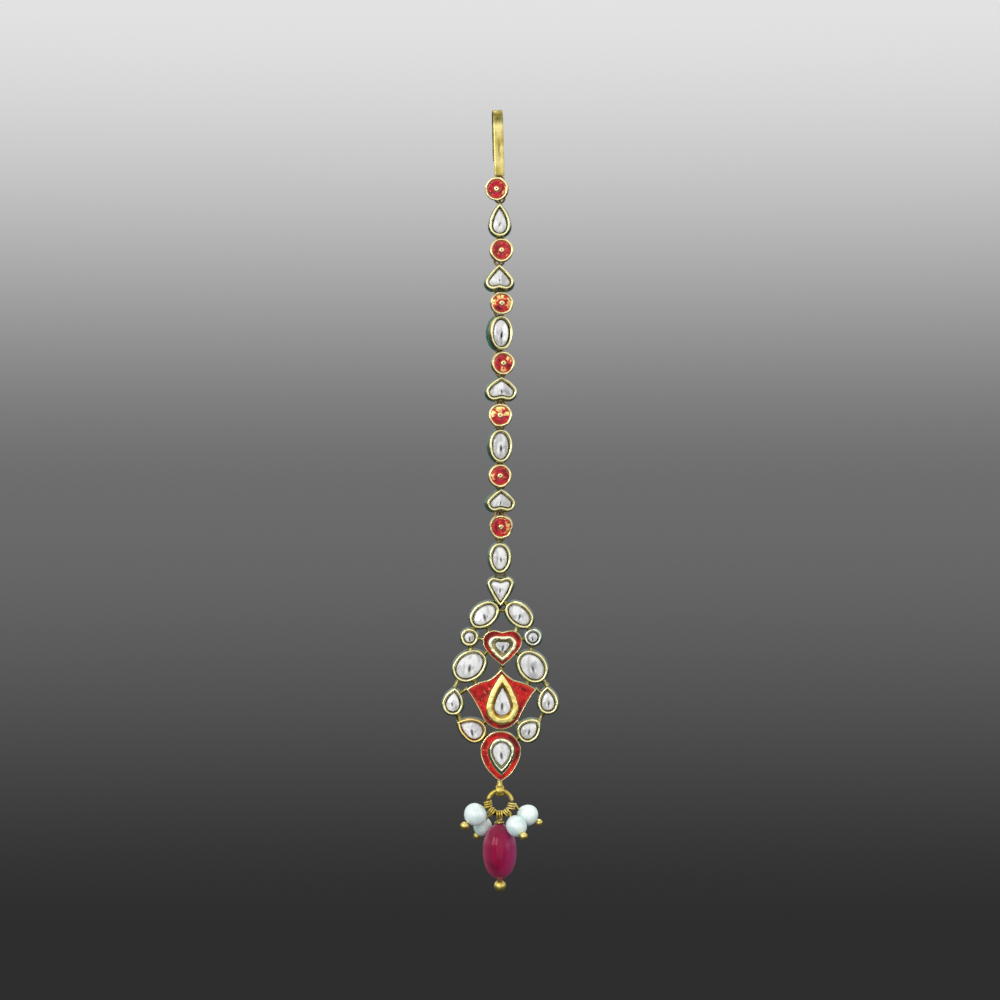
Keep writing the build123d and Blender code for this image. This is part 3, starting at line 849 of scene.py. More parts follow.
@dataclass
class StoneBox:
    """A sheet-gold box that holds one uncut diamond: green foot, leaning wall, thin pressed rim."""

    node: str                # the CAD node of the stone
    seed: int                # which handmade unevenness
    lap: float = 0.0         # how far the gold is pressed in over the stone's edge
    gold: int = 0            # the finish of the sheet gold
    outline: Outline = field(init=False)

    # Wall of the box from its back to its pocket: distance outside the stone, height, grime with painted
    # shade in the pocket and in a dark line on the outer wall, burnish
    wall: Table = (
        (0.55, 0.00, 0.25, 0.0), (0.84, 0.00, 0.25, 0.0), (0.90, 0.06, 0.2, 0.0), (0.87, 0.35, 0.1, 0.0),
        (0.80, 0.65, 0.1, 0.0), (0.73, 0.86, 0.2, 0.0), (0.70, 0.93, 0.9, 0.0), (0.68, 1.02, 0.6, 0.0),
        (0.67, 1.30, 0.35, 0.0), (0.66, 1.58, 0.2, 0.0), (0.65, 1.80, 0.1, 0.1), (0.62, 1.92, 0.0, 0.7),
        (0.54, 1.99, 0.0, 1.0), (0.42, 2.01, 0.0, 0.8), (0.31, 1.98, 0.0, 1.0), (0.24, 1.91, 0.0, 0.8),
        (0.20, 1.83, 0.4, 0.0), (0.15, 1.72, 0.8, 0.0), (0.07, 1.58, 1.0, 0.0), (0.03, 1.40, 1.0, 0.0),
        (0.03, 0.80, 1.0, 0.0), (0.01, 0.62, 1.0, 0.0),
    )
    green_bands: tuple[int, ...] = (2, 3, 4)     # bands of the wall that are enamelled
    uneven: float = 0.05     # how far the rim wanders
    crest: float = 0.04      # how far it rises and falls
    rim_steps: range = range(9, 17)  # steps of the wall that are its rim

    # Crown of the stone: distance outside its girdle, height, how much painted highlight the bevel carries
    crown: Table = (
        (-0.02, 0.66, 0.0), (-0.01, 1.42, 0.3), (-0.03, 1.57, 0.7), (-0.08, 1.69, 1.0), (-0.16, 1.78, 0.6),
        (-0.27, 1.84, 0.15),
    )
    table_steps: int = 14    # steps from the bevel to the middle
    dome: float = 0.04       # how far the middle of the top rises
    flats: int = 7           # shallow flats on its top
    full_size: float = 1.2   # half width of a stone from which its painted dark reflection no longer grows

    def __post_init__(self) -> None:
        """Reads the stone's outline."""
        self.outline = Outline(self.node, STONE_BASE)

    def add_wall(self, draft: Draft) -> None:
        """Adds the box.

        Args:
            draft: the mesh so far.
        """
        outer = waves(self.outline.angles, self.seed, 2, 6) * self.uneven
        inner = waves(self.outline.angles, self.seed + 500, 2, 6) * self.uneven
        crest = waves(self.outline.angles, self.seed + 900, 2, 6) * self.crest
        rings = []
        for step, (distance, height, _, _) in enumerate(self.wall):
            share = ramp(step, self.green_bands[-1], self.rim_steps[0])
            wander = outer * share if distance > 0.45 else inner * (1.0 if distance > 0.1 else 0.2)
            lift = crest * (step in self.rim_steps)
            rings.append(self.outline.ring(self.outline.reach(distance) + wander, height + lift))
        finishes = [0, 0] + [1] * len(self.green_bands)
        finishes += [self.gold] * (len(self.wall) - 1 - len(finishes))
        draft.add_rings(np.array(rings), column(self.wall, 2), column(self.wall, 3), finishes)

    def facets(self, x: np.ndarray, y: np.ndarray) -> np.ndarray:
        """Shallow flats of the stone's top: how far the surface lies below its highest point.

        Args:
            x: places across the stone.
            y: places up the stone.

        Returns:
            Depths, in millimetres.
        """
        draw = np.random.default_rng(self.seed + 77)
        depth = np.zeros_like(x)
        for turn in np.arange(self.flats) * math.tau / self.flats + draw.uniform(0, 1):
            slope, start = draw.uniform(0.05, 0.16), draw.uniform(0.1, 0.7)
            lean = turn + draw.uniform(-0.4, 0.4)
            depth = np.maximum(depth, (x * math.cos(lean) + y * math.sin(lean) - start) * slope)
        return depth

    def crease(self, x: np.ndarray, y: np.ndarray) -> np.ndarray:
        """Draws the painted reflection in the foil: a dark tick for something dark reflected in the stone,
        with painted white highlights beside it.

        Args:
            x: places across the stone.
            y: places up the stone.

        Returns:
            Above 0 where the dark reflection is painted and below 0 where a white highlight is painted.
        """
        draw = np.random.default_rng(self.seed + 33)
        lean, size = draw.uniform(-0.35, 0.25), draw.uniform(0.75, 1.1)
        size *= min(1.2, self.outline.reach().min() / self.full_size)
        y = (y + 0.35 * size) / size
        x = (x - draw.uniform(-0.15, 0.15)) / size + y * lean
        dark = blot(x, y, 0.2, 0.5) * 1.3
        second = blot(x - 0.45 - 0.3 * y, y - 0.1, 0.11, 0.34) * draw.uniform(0.3, 0.8)
        third = blot(x + 0.55 + 0.5 * y, y - 0.4, 0.14, 0.4) * draw.uniform(0.1, 0.5)
        painted_highlight = blot(np.abs(x) - 0.42, y + 0.35, 0.2, 0.55)
        return np.clip(dark + second + third, 0, 1) - painted_highlight * (1 - np.clip(dark + second, 0, 1))

    def add_stone(self, draft: Draft, rise: float = 0.0) -> None:
        """Adds the stone to a draft.

        Args:
            draft: the mesh so far.
            rise: how far the stone stands above its neighbours.
        """
        profile = [(self.outline.reach(distance - self.lap), height, white)
                   for distance, height, white in self.crown]
        reach, height, white = profile[-1]
        for step in range(1, self.table_steps):
            share = 1 - step / self.table_steps
            profile.append((reach * share, height + self.dome * (1 - share ** 2), white * share ** 2))
        ragged = waves(self.outline.angles, self.seed + 40, 4, 14)
        rings, edge, painted_reflections = [], [], []
        for reach, height, white in profile:
            x, y = reach * self.outline.rays[:, 0], reach * self.outline.rays[:, 1]
            flat = self.facets(x, y) if height > 1.5 else 0.0
            rings.append(self.outline.ring(reach, height + rise - flat))
            # the painted highlight on the bevel, ragged round the edge
            edge.append(np.clip(white * (1 + 0.7 * ragged), 0, 1))
            # the painted dark reflection and the painted highlights beside it
            painted_reflections.append(self.crease(x, y))
        draft.add_rings(np.array(rings), np.array(edge), np.array(painted_reflections))


@dataclass(frozen=True)
class Wear:
    """A place where enamel is rubbed down to the gold: its direction, half width and reach."""

    angle: float
    spread: float
    inner: float = 0.3
    outer: float = 1.2
    strength: float = 1.0


@dataclass
class EnamelCup:
    """A round gold cup of crimson enamel with a gold granule in its middle."""

    node: str                # the CAD node of the enamel
    seed: int                # which handmade unevenness
    worn: tuple[Wear, ...]   # where the enamel is rubbed down
    outline: Outline = field(init=False)

    granule: float = 0.48    # radius of the granule's hole in the enamel
    uneven: float = 0.045    # how far the rim wanders
    crest: float = 0.04      # how far it rises and falls
    rim_steps: range = range(6, 11)  # steps of the wall that are its rim
    fade: float = 0.12       # share of the way over which a worn place begins and ends
    bare: float = 0.62       # how worn its middle is
    steps: int = 12          # steps across the enamel
    # Wall of the cup: distance outside the enamel, height, grime with painted shade in the low places,
    # burnish
    wall: Table = (
        (-0.05, 0.00, 0.25, 0.0), (0.34, 0.00, 0.25, 0.0), (0.42, 0.06, 0.2, 0.0), (0.44, 0.50, 0.3, 0.0),
        (0.43, 1.00, 0.5, 0.0), (0.43, 1.45, 0.2, 0.0), (0.43, 1.76, 0.0, 0.4), (0.40, 1.92, 0.0, 1.0),
        (0.31, 2.00, 0.0, 1.0), (0.15, 2.01, 0.0, 1.0), (0.05, 1.96, 0.05, 1.0), (0.01, 1.88, 0.4, 0.0),
        (-0.01, 1.60, 0.9, 0.0), (-0.01, 1.42, 0.9, 0.0),
    )
    # Granule: radius, height, grime with painted shade at its foot and in its dimple, burnish
    bead: Table = (
        (0.46, 1.40, 0.9, 0.0), (0.47, 1.90, 0.6, 0.0), (0.50, 1.97, 0.2, 0.5), (0.49, 2.06, 0.0, 1.0),
        (0.44, 2.14, 0.0, 1.0), (0.34, 2.19, 0.0, 1.0), (0.22, 2.20, 0.0, 1.0), (0.13, 2.18, 0.1, 0.5),
        (0.09, 2.12, 0.8, 0.0), (0.05, 2.08, 1.0, 0.0),
    )

    def __post_init__(self) -> None:
        """Reads the enamel's outline."""
        self.outline = Outline(self.node, DISC_BASE, rays=120)

    def add_wall(self, draft: Draft) -> None:
        """Adds the cup and its granule.

        Args:
            draft: the mesh so far.
        """
        wander = waves(self.outline.angles, self.seed) * self.uneven
        crest = waves(self.outline.angles, self.seed + 900) * self.crest
        rings = []
        for step, (distance, height, _, _) in enumerate(self.wall):
            share = ramp(step, 0, self.rim_steps[0]) * (step <= self.rim_steps[-1])
            lift = crest * (step in self.rim_steps)
            rings.append(self.outline.ring(self.outline.reach(distance) + wander * share, height + lift))
        draft.add_rings(np.array(rings), column(self.wall, 2), column(self.wall, 3))
        radii, heights, grime_and_painted_light, burnish_and_highlight = zip(*self.bead)
        draft.add_turned(self.outline.point(0, 0, 0), self.outline.normal, list(zip(radii, heights)),
                         list(grime_and_painted_light), list(burnish_and_highlight))

    def add_enamel(self, draft: Draft) -> None:
        """Adds the ring of enamel, a little proud in its middle.

        Args:
            draft: the mesh so far.
        """
        full = self.outline.reach(-0.01)
        inner = self.granule - 0.03
        rings, thin, wear_and_painted_light = [], [], []
        inwards = [step / self.steps for step in range(1, self.steps)]
        surface = [(1.0, 1.44), (1.0, 1.82), *((1 - t, 1.9 + 0.05 * math.sin(math.pi * t)) for t in inwards),
                   (0.0, 1.88), (0.0, 1.44)]
        for share, height in surface:
            reach = inner + (full - inner) * share
            rings.append(self.outline.ring(reach, height))
            thin.append([0.5 * abs(2 * share - 1) ** 4])
            wear_and_painted_light.append(self.worn_at(reach / full))
        draft.add_rings(np.array(rings), np.array(thin), np.array(wear_and_painted_light), capped=False)

    def worn_at(self, share: np.ndarray) -> np.ndarray:
        """Works out how worn the enamel is.

        Args:
            share: share of the way to the edge on each ray.

        Returns:
            How worn it is on each ray.
        """
        total = np.zeros_like(share)
        for place in self.worn:
            off = degrees_apart(np.degrees(self.outline.angles), place.angle)
            side = np.clip(1.6 - 1.1 * off / place.spread, 0, 1)
            depth = ramp(share, place.inner, place.inner + self.fade)
            depth = depth * (1 - ramp(share, place.outer - self.fade, place.outer))
            total = np.maximum(total, side * depth * place.strength)
        return total * self.bare


# --- The strand ----------------------------------------------------------------------------------


@dataclass(frozen=True)
class LinkPlan:
    """A link of the strand and what fills it."""

    frame: str
    filling: str
    wear_and_painted_light: tuple[Wear, ...] = ()

    @property
    def round(self) -> bool:
        """Whether the link is an enamelled cup."""
        return self.frame.startswith("round")


STRAND = (
    LinkPlan("round_link_1", "enamel_disc_1", (Wear(-35, 30, 0.62, 0.95), Wear(10, 25, 0.8, 1.2, 0.8))),
    LinkPlan("pear_link", "pear_stone"),
    LinkPlan("round_link_2", "enamel_disc_2", (Wear(-60, 14, 0.7, 0.9, 0.75),)),
    LinkPlan("heart_link_1", "heart_1_stone"),
    LinkPlan("round_link_3", "enamel_disc_3", (Wear(100, 75, 0.42), Wear(175, 25, 0.5), Wear(0, 38, 0.5))),
    LinkPlan("oval_link_1", "oval_1_stone"),
    LinkPlan("round_link_4", "enamel_disc_4", (Wear(35, 24, 0.45), Wear(-90, 26, 0.3, 0.95))),
    LinkPlan("heart_link_2", "heart_2_stone"),
    LinkPlan("round_link_5", "enamel_disc_5", (Wear(90, 50, 0.2), Wear(165, 22), Wear(15, 22))),
    LinkPlan("oval_link_2", "oval_2_stone"),
    LinkPlan("round_link_6", "enamel_disc_6", (Wear(180, 26, 0.55, 1.2, 0.85),)),
    LinkPlan("heart_link_3", "heart_3_stone"),
    LinkPlan("round_link_7", "enamel_disc_7", (Wear(-5, 48, 0.5, 1.3), Wear(80, 20, 0.85, 1.3))),
    LinkPlan("oval_link_3", "oval_3_stone"),
)


@dataclass(frozen=True)
class Loops:
    """The wire loops that join two neighbours behind their back plates."""

    wire_r: float = 0.2
    eye_r: float = 0.85      # an eye, which lies face-on
    link_r: float = 0.75     # a loop, which stands edge-on
    hang: float = 0.25       # from the middle of two linked loops to either wire, with room to swing
    top: float = 0.42        # from the middle of two linked loops to the top of the lower piece
    depth: float = -0.55     # middle of the loops, behind the back plates
    pad_r: float = 0.32      # solder that holds a loop
    pad_front: float = -1.7  # where the solder starts, inside the box
    pad_back: float = -1.0   # where it ends behind a loop
    # the loops and their solder pads, behind and inside the boxes, are painted dark: grime and painted shade
    grime_and_painted_light: float = 0.7
    pad_grime_and_shade: float = 0.8

    def level_above(self, node: str) -> float:
        """Height at which a piece hangs from the one above."""
        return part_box(node)[1].z / MM - self.top

    def add(self, draft: Draft, x: float, level: float, side: int, face_on: bool) -> None:
        """Adds a loop and the solder that holds it.

        Args:
            draft: the mesh so far.
            x: place across.
            level: height at which the two loops meet.
            side: 1 on the upper of two pieces and -1 on the lower.
            face_on: an eye that lies face-on, not a loop that stands edge-on.
        """
        radius = self.eye_r if face_on else self.link_r
        centre = np.array([x, self.depth, level + side * (radius - self.hang)])
        section = circle(48) * radius
        across = RIGHT if face_on else BACK
        draft.add_wire(centre + section[:, :1] * across + section[:, 1:] * UP, self.wire_r, self.grime_and_painted_light,
                       closed=True)
        foot_z = centre[2] + side * radius * face_on
        length = (self.depth if face_on else self.pad_back) - self.pad_front
        pad = [(0.2, 0.0), (self.pad_r + 0.1, 0.05), (self.pad_r + 0.06, 0.55), (self.pad_r, length * 0.8),
               (self.pad_r * 0.6, length)]
        draft.add_turned(np.array([x, self.pad_front, foot_z]), BACK, pad, self.pad_grime_and_shade, around=20)


@dataclass
class Hook:
    """A flat gold strip, bent over on itself, that hooks into the hair."""

    width: float = 1.8
    thick: float = 0.6
    bend: float = 1.2        # inside radius of the fold
    leg: float = 11.34       # lowest point of the front leg, below the origin
    back_leg: float = 8.4    # lowest point of the back leg
    spring: float = 0.35     # how far the end of the back leg opens
    yaw: float = 4.0         # in degrees, as lean is
    lean: float = 1.57
    corner: float = 0.17     # radius of the strip's edges

    @property
    def foot_x(self) -> float:
        """How far the lean carries the lower end sideways."""
        return self.leg * math.sin(math.radians(self.lean))

    def path(self) -> np.ndarray:
        """Middle line of the strip from its lower end, up the front, over and down the back.

        Returns:
            The line's points, N by 3.
        """
        line = self.bend + self.thick / 2
        crown = -self.bend
        front = [(-line, z) for z in np.linspace(-self.leg, crown, 48)]
        over = [(-line * math.cos(a), crown + (self.thick / 2 - crown) * math.sin(a))
                for a in np.linspace(0, math.pi, 30)[1:-1]]
        back = [(line + self.spring * t, crown + (crown + self.back_leg) * -t) for t in np.linspace(0, 1, 20)]
        flat = np.array(front + over + back)
        return np.stack([np.zeros(len(flat)), flat[:, 0], flat[:, 1]], 1)

    def section(self) -> np.ndarray:
        """The strip's rounded section.

        Returns:
            Its points, N by 2, the first axis across the width.
        """
        half_w, half_t, r = self.width / 2, self.thick / 2, self.corner
        points = []
        for cx, cy, start in ((half_w - r, half_t - r, 0), (-half_w + r, half_t - r, 90),
                              (-half_w + r, -half_t + r, 180), (half_w - r, -half_t + r, 270)):
            for turn in np.radians(np.linspace(start, start + 90, 5)):
                points.append((cx + r * math.cos(turn), cy + r * math.sin(turn)))
            if start in (0, 180):
                ahead = -1 if start == 0 else 1
                points += [(ahead * (half_w - r) * share, cy + math.copysign(r, cy))
                           for share in np.linspace(-1, 1, 15)[1:-1]]
        return np.array(points)

    @staticmethod
    def weathering(rings: np.ndarray) -> tuple[np.ndarray, np.ndarray]:
        """Ages the strip and paints highlights on it.

        It is dark and speckled over the fold and has a long scratch in the middle and a bright lower
        right corner.  A highlight is painted just below the fold and another along its left edge.

        Args:
            rings: the strip's points before it is turned, R by N by 3.

        Returns:
            How soiled it is, and how burnished it is together with the painted highlights, R by N each.
        """
        x, y, z = rings[..., 0], rings[..., 1], rings[..., 2]
        front = y < -1.3
        speckle = 0.5 + 0.5 * np.sin(9 * x + 5 * z) * np.sin(7 * z - 4 * x)
        fold = ramp(z, -2.3, -1.3) * 0.9 * (0.6 + 0.4 * speckle)
        scratch = blot(x - 0.08 * np.sin(3 * z), z + 6.6, 0.14, 1.5) * 0.85 * front
        foot = ramp(-z, 10.9, 11.3) * 0.6
        back = ramp(y, 0.6, 1.2) * 0.85
        # a painted highlight just below the fold
        rubbed = blot(x, z + 3.4, 0.6, 1.2) * front
        corner = ramp(-z, 7.5, 10.0) * ramp(x, -0.2, 0.4) * 0.5
        # a painted highlight along the left edge
        edge = ramp(-x, 0.66, 0.76) * 0.4
        return np.clip(fold + scratch + foot + back, 0, 1), np.clip(rubbed + corner + edge, 0, 1)

    def turned(self, points: np.ndarray) -> np.ndarray:
        """Leans and turns the strip as it hangs.

        Args:
            points: any array of points.

        Returns:
            The turned points.
        """
        lean, yaw = math.radians(self.lean), math.radians(self.yaw)
        x, y, z = points[..., 0], points[..., 1], points[..., 2]
        x, z = x * math.cos(lean) - z * math.sin(lean), x * math.sin(lean) + z * math.cos(lean)
        return np.stack([x * math.cos(yaw) - y * math.sin(yaw), x * math.sin(yaw) + y * math.cos(yaw), z], -1)

    def build(self, palette: Palette, loops: Loops, level: float) -> None:
        """Makes the hook.

        Args:
            palette: the finishes.
            loops: the maker of the wire loops.
            level: height at which the first link hangs.
        """
        path = self.path()
        rings = swept(path, self.section(), False, RIGHT)
        draft = Draft()
        draft.add_rings(self.turned(rings), *self.weathering(rings))
        loops.add(draft, self.foot_x, level, 1, False)
        draft.make("hook_strip", [palette.strip], "strand", Slot.HOOK.value, ["hook"])


@dataclass
class Strand:
    """The hook and the jointed links under it."""

    palette: Palette
    hook: Hook = field(default_factory=Hook)
    loops: Loops = field(default_factory=Loops)
    boxes: list[EnamelCup | StoneBox] = field(init=False)

    def __post_init__(self) -> None:
        """Plans every link."""
        self.boxes = [EnamelCup(plan.filling, 10 + number, plan.wear_and_painted_light) if plan.round
                      else StoneBox(plan.filling, 10 + number) for number, plan in enumerate(STRAND)]

    def hang_places(self) -> list[tuple[float, float]]:
        """Finds where each link, and then the pendant, hangs.

        Returns:
            The place across and the level of each.
        """
        middles = [box.outline.origin[0] for box in self.boxes]
        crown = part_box("top_heart_stone")
        middles.append((crown[0].x + crown[1].x) / 2 / MM)
        names = [plan.frame for plan in STRAND] + ["pendant_frame"]
        places = [(self.hook.foot_x, self.loops.level_above(names[0]))]
        for number in range(len(STRAND)):
            lower_round = number + 1 < len(STRAND) and STRAND[number + 1].round
            x = middles[number] if lower_round else middles[number + 1]
            places.append((x, self.loops.level_above(names[number + 1])))
        return places

    def build(self) -> list[tuple[float, float]]:
        """Makes the hook and the links.

        Returns:
            Where each link, and then the pendant, hangs.
        """
        places = self.hang_places()
        self.hook.build(self.palette, self.loops, places[0][1])
        for number, (plan, box) in enumerate(zip(STRAND, self.boxes)):
            metal, filling = Draft(), Draft()
            box.add_wall(metal)
            self.loops.add(metal, *places[number], -1, plan.round)
            self.loops.add(metal, *places[number + 1], 1, plan.round or number == len(STRAND) - 1)
            gold = self.palette.cup if plan.round else self.palette.box
            metal.make(f"{plan.frame}_metal", [gold, self.palette.foot], "strand", Slot.BOX.value,
                       [plan.frame])
            if plan.round:
                box.add_enamel(filling)
                filling.make(f"{plan.filling}_glass", [self.palette.crimson], "strand", Slot.ENAMEL.value,
                             [plan.filling])
            else:
                box.add_stone(filling)
                filling.make(f"{plan.filling}_cut", [self.palette.stone], "strand", Slot.STONE.value,
                             [plan.filling], crease=12)
        return places


# --- The pendant ---------------------------------------------------------------------------------


def on_both_sides(names: Iterable[str]) -> list[tuple[str, ...]]:
    """Names with a star become a left and a right one.

    Args:
        names: names of cells, or pairs of them with a space between.

    Returns:
        The names of each entry, side by side.
    """
    made = []
    for entry in names:
        sides = ("left", "right") if "*" in entry else ("",)
        made += [tuple(entry.replace("*", side).split()) for side in sides]
    return made


PENDANT_STONES = [name for name, in on_both_sides((
    "top_heart", "upper_oval_*", "small_round_*", "large_oval_*", "side_pear_*", "lower_pear_*"))]

# Neighbours that solder joins
SOLDERED = on_both_sides((
    "top_heart upper_oval_*", "upper_oval_left upper_oval_right", "upper_oval_* small_round_*",
    "upper_oval_* red_heart", "small_round_* red_heart", "small_round_* large_oval_*",
    "large_oval_* red_heart", "red_heart tulip", "large_oval_* side_pear_*", "large_oval_* tulip",
    "side_pear_* tulip", "side_pear_* lower_pear_*", "lower_pear_* tulip", "lower_pear_* teardrop",
    "tulip teardrop"))


class Collar(Enum):
    """How the gold round a red cell's stone is worked.

    Each row is a share of the way in to the stone, a height, grime with painted shade in the low places,
    burnish, and a finish: 0 gold leaf, 1 sheet gold or 2 green enamel.
    """

    CREAM = ((0.00, 1.94, 0.4, 0.0, 0), (0.03, 2.12, 0.0, 0.8, 0), (0.10, 2.20, 0.0, 1.0, 0),
             (0.28, 2.23, 0.0, 1.0, 0), (0.48, 2.21, 0.0, 1.0, 0), (0.56, 2.13, 0.2, 0.4, 0),
             (0.61, 2.02, 0.9, 0.0, 0), (0.80, 1.94, 0.8, 0.0, 0), (1.00, 1.86, 1.0, 0.0, 0))
    LEAF = ((0.00, 1.96, 0.5, 0.0, 0), (0.04, 2.18, 0.1, 0.3, 0), (0.11, 2.27, 0.0, 0.6, 0),
            (0.30, 2.31, 0.0, 1.0, 0), (0.50, 2.32, 0.0, 0.4, 0), (0.60, 2.33, 0.0, 0.8, 0),
            (0.68, 2.29, 0.2, 0.2, 0), (0.80, 2.17, 0.7, 0.0, 0), (1.00, 2.00, 1.0, 0.0, 0))
    GREEN = ((0.00, 1.93, 0.2, 0.5, 0), (0.06, 2.00, 0.0, 0.9, 0), (0.11, 1.98, 0.0, -0.8, 2),
             (0.38, 1.98, 0.0, -0.8, 2), (0.44, 2.12, 0.0, 0.8, 0), (0.54, 2.18, 0.0, 1.0, 0),
             (0.66, 2.14, 0.0, 0.8, 0), (0.74, 2.02, 0.7, -0.8, 2), (0.88, 1.90, 0.0, -0.8, 2),
             (1.00, 1.80, 0.9, 0.0, 1))


@dataclass
class RedCell:
    """A cell of the pendant with red enamel round a stone in a gold collar."""

    name: str                # start of the cell's node names
    collar: Collar
    rise: float              # how far the stone stands above the pendant's other stones
    lap: float               # how far the collar is pressed in over the stone
    seed: int                # which handmade unevenness
    shaded_side: tuple[float, float]   # side on which shade is painted into the enamel, across and up
    outline: Outline = field(init=False)
    hole: Outline = field(init=False)
    stone: StoneBox = field(init=False)

    border: float = 0.2      # from the enamel's edge to the cell's outside
    well: float = 1.56       # floor of the enamel's well
    uneven: float = 0.03     # how far the border wanders
    pressed: float = 0.09    # how far the collar does
    # Wall of the cell: distance outside the enamel, height, grime with painted shade in the low places,
    # burnish
    wall: Table = (
        (-0.30, 0.00, 0.25, 0.0), (0.12, 0.00, 0.25, 0.0), (0.20, 0.06, 0.2, 0.0), (0.20, 0.60, 0.4, 0.0),
        (0.19, 1.20, 0.6, 0.0), (0.20, 1.70, 0.3, 0.0), (0.20, 1.90, 0.0, 0.6), (0.16, 1.98, 0.0, 1.0),
        (0.10, 2.00, 0.0, 1.0), (0.04, 1.97, 0.0, 0.8), (0.01, 1.92, 0.3, 0.0), (0.00, well, 0.9, 0.0),
    )
    meniscus: int = 14       # steps across the enamel, which creeps up the gold on both sides
    moat: float = 0.44       # green collar: share of the way in where its ridge starts
    ridge_end: float = 0.66  # and where it ends

    def __post_init__(self) -> None:
        """Reads the outlines of the cell."""
        self.outline = Outline(f"{self.name}_enamel", CELL_BASE, rays=240)
        self.hole = Outline(f"{self.name}_enamel", CELL_BASE, hole=True, rays=160)
        self.stone = StoneBox(f"{self.name}_stone", self.seed, lap=self.lap)
        self.outline.start_from(self.stone.outline.origin)

    def add_metal(self, draft: Draft) -> None:
        """Adds the cell's back, border, well, collar and pocket.

        Args:
            draft: the mesh so far.
        """
        wander = waves(self.outline.angles, self.seed, 3, 12) * self.uneven
        rings = [self.outline.ring(self.outline.reach(distance) + wander * (step > 4), height)
                 for step, (distance, height, _, _) in enumerate(self.wall)]
        outer = self.outline.reach(-0.03, self.hole)
        inner = self.outline.reach(0.03 - self.lap, self.stone.outline)
        pressed = waves(self.outline.angles, self.seed + 60, 3, 14) * self.pressed
        rings.append(self.outline.ring(outer, self.well))
        for share, height, *_ in self.collar.value:
            share = self.leant(share)
            reach = outer + (inner - outer) * share + pressed * np.sin(math.pi * np.minimum(share * 1.3, 1))
            bulge = pressed * 0.5 * ((0.1 < share) & (share < 0.8))
            rings.append(self.outline.ring(reach, height + bulge))
        rings.append(self.outline.ring(inner, STONE_BASE))
        profile = [row[2:] for row in self.wall] + [(0.9, 0.0)]
        profile += [row[2:4] for row in self.collar.value] + [(1.0, 0.0)]
        leaf = 3 if self.collar is Collar.LEAF else 2
        finishes = [0] * len(self.wall) + [(leaf, 0, 1)[row[4]] for row in self.collar.value] + [0]
        draft.add_rings(np.array(rings), column(profile, 0), column(profile, 1), finishes)

    def leant(self, share: float) -> np.ndarray:
        """Squeezes the green collar's moat, which its ridge covers at the top.

        Args:
            share: share of the way in, on an even collar.

        Returns:
            Share of the way in on each ray.
        """
        plain = np.full(len(self.outline.rays), share)
        if self.collar is not Collar.GREEN or share >= self.ridge_end:
            return plain
        across, up = self.outline.rays.T
        squeeze = 1 - 0.8 * np.clip(1.2 * up + 0.4 * across + 0.1, 0, 1)
        run = max(0.0, (share - self.moat) / (self.ridge_end - self.moat))
        return min(share, self.moat) * squeeze * (1 - run) + self.ridge_end * run

    def add_enamel(self, draft: Draft) -> None:
        """Adds the enamel, which creeps up the gold, with shade painted darker on one side and far from the
        stone.

        Args:
            draft: the mesh so far.
        """
        outer = self.outline.reach(-0.01)
        low = np.clip(self.outline.rays @ self.shaded_side, 0, 1)
        inner = self.outline.reach(0.01, self.hole)
        rings, thin, deep = [], [], []
        across = [step / self.meniscus for step in range(1, self.meniscus)]
        surface = [(0.0, 1.60), (0.0, 1.93), *((t, 1.93 - 0.05 * math.sin(math.pi * t)) for t in across),
                   (1.0, 1.93), (1.0, 1.60)]
        for share, height in surface:
            reach = outer + (inner - outer) * share
            rings.append(self.outline.ring(reach, height))
            thin.append([0.45 * abs(2 * share - 1) ** 6])
            # painted shade: darker towards the outside and on the shaded side
            deep.append(-0.5 * ramp(reach / outer.max(), 0.65, 1.0) - 0.55 * low)
        draft.add_rings(np.array(rings), np.array(thin), np.array(deep), capped=False)


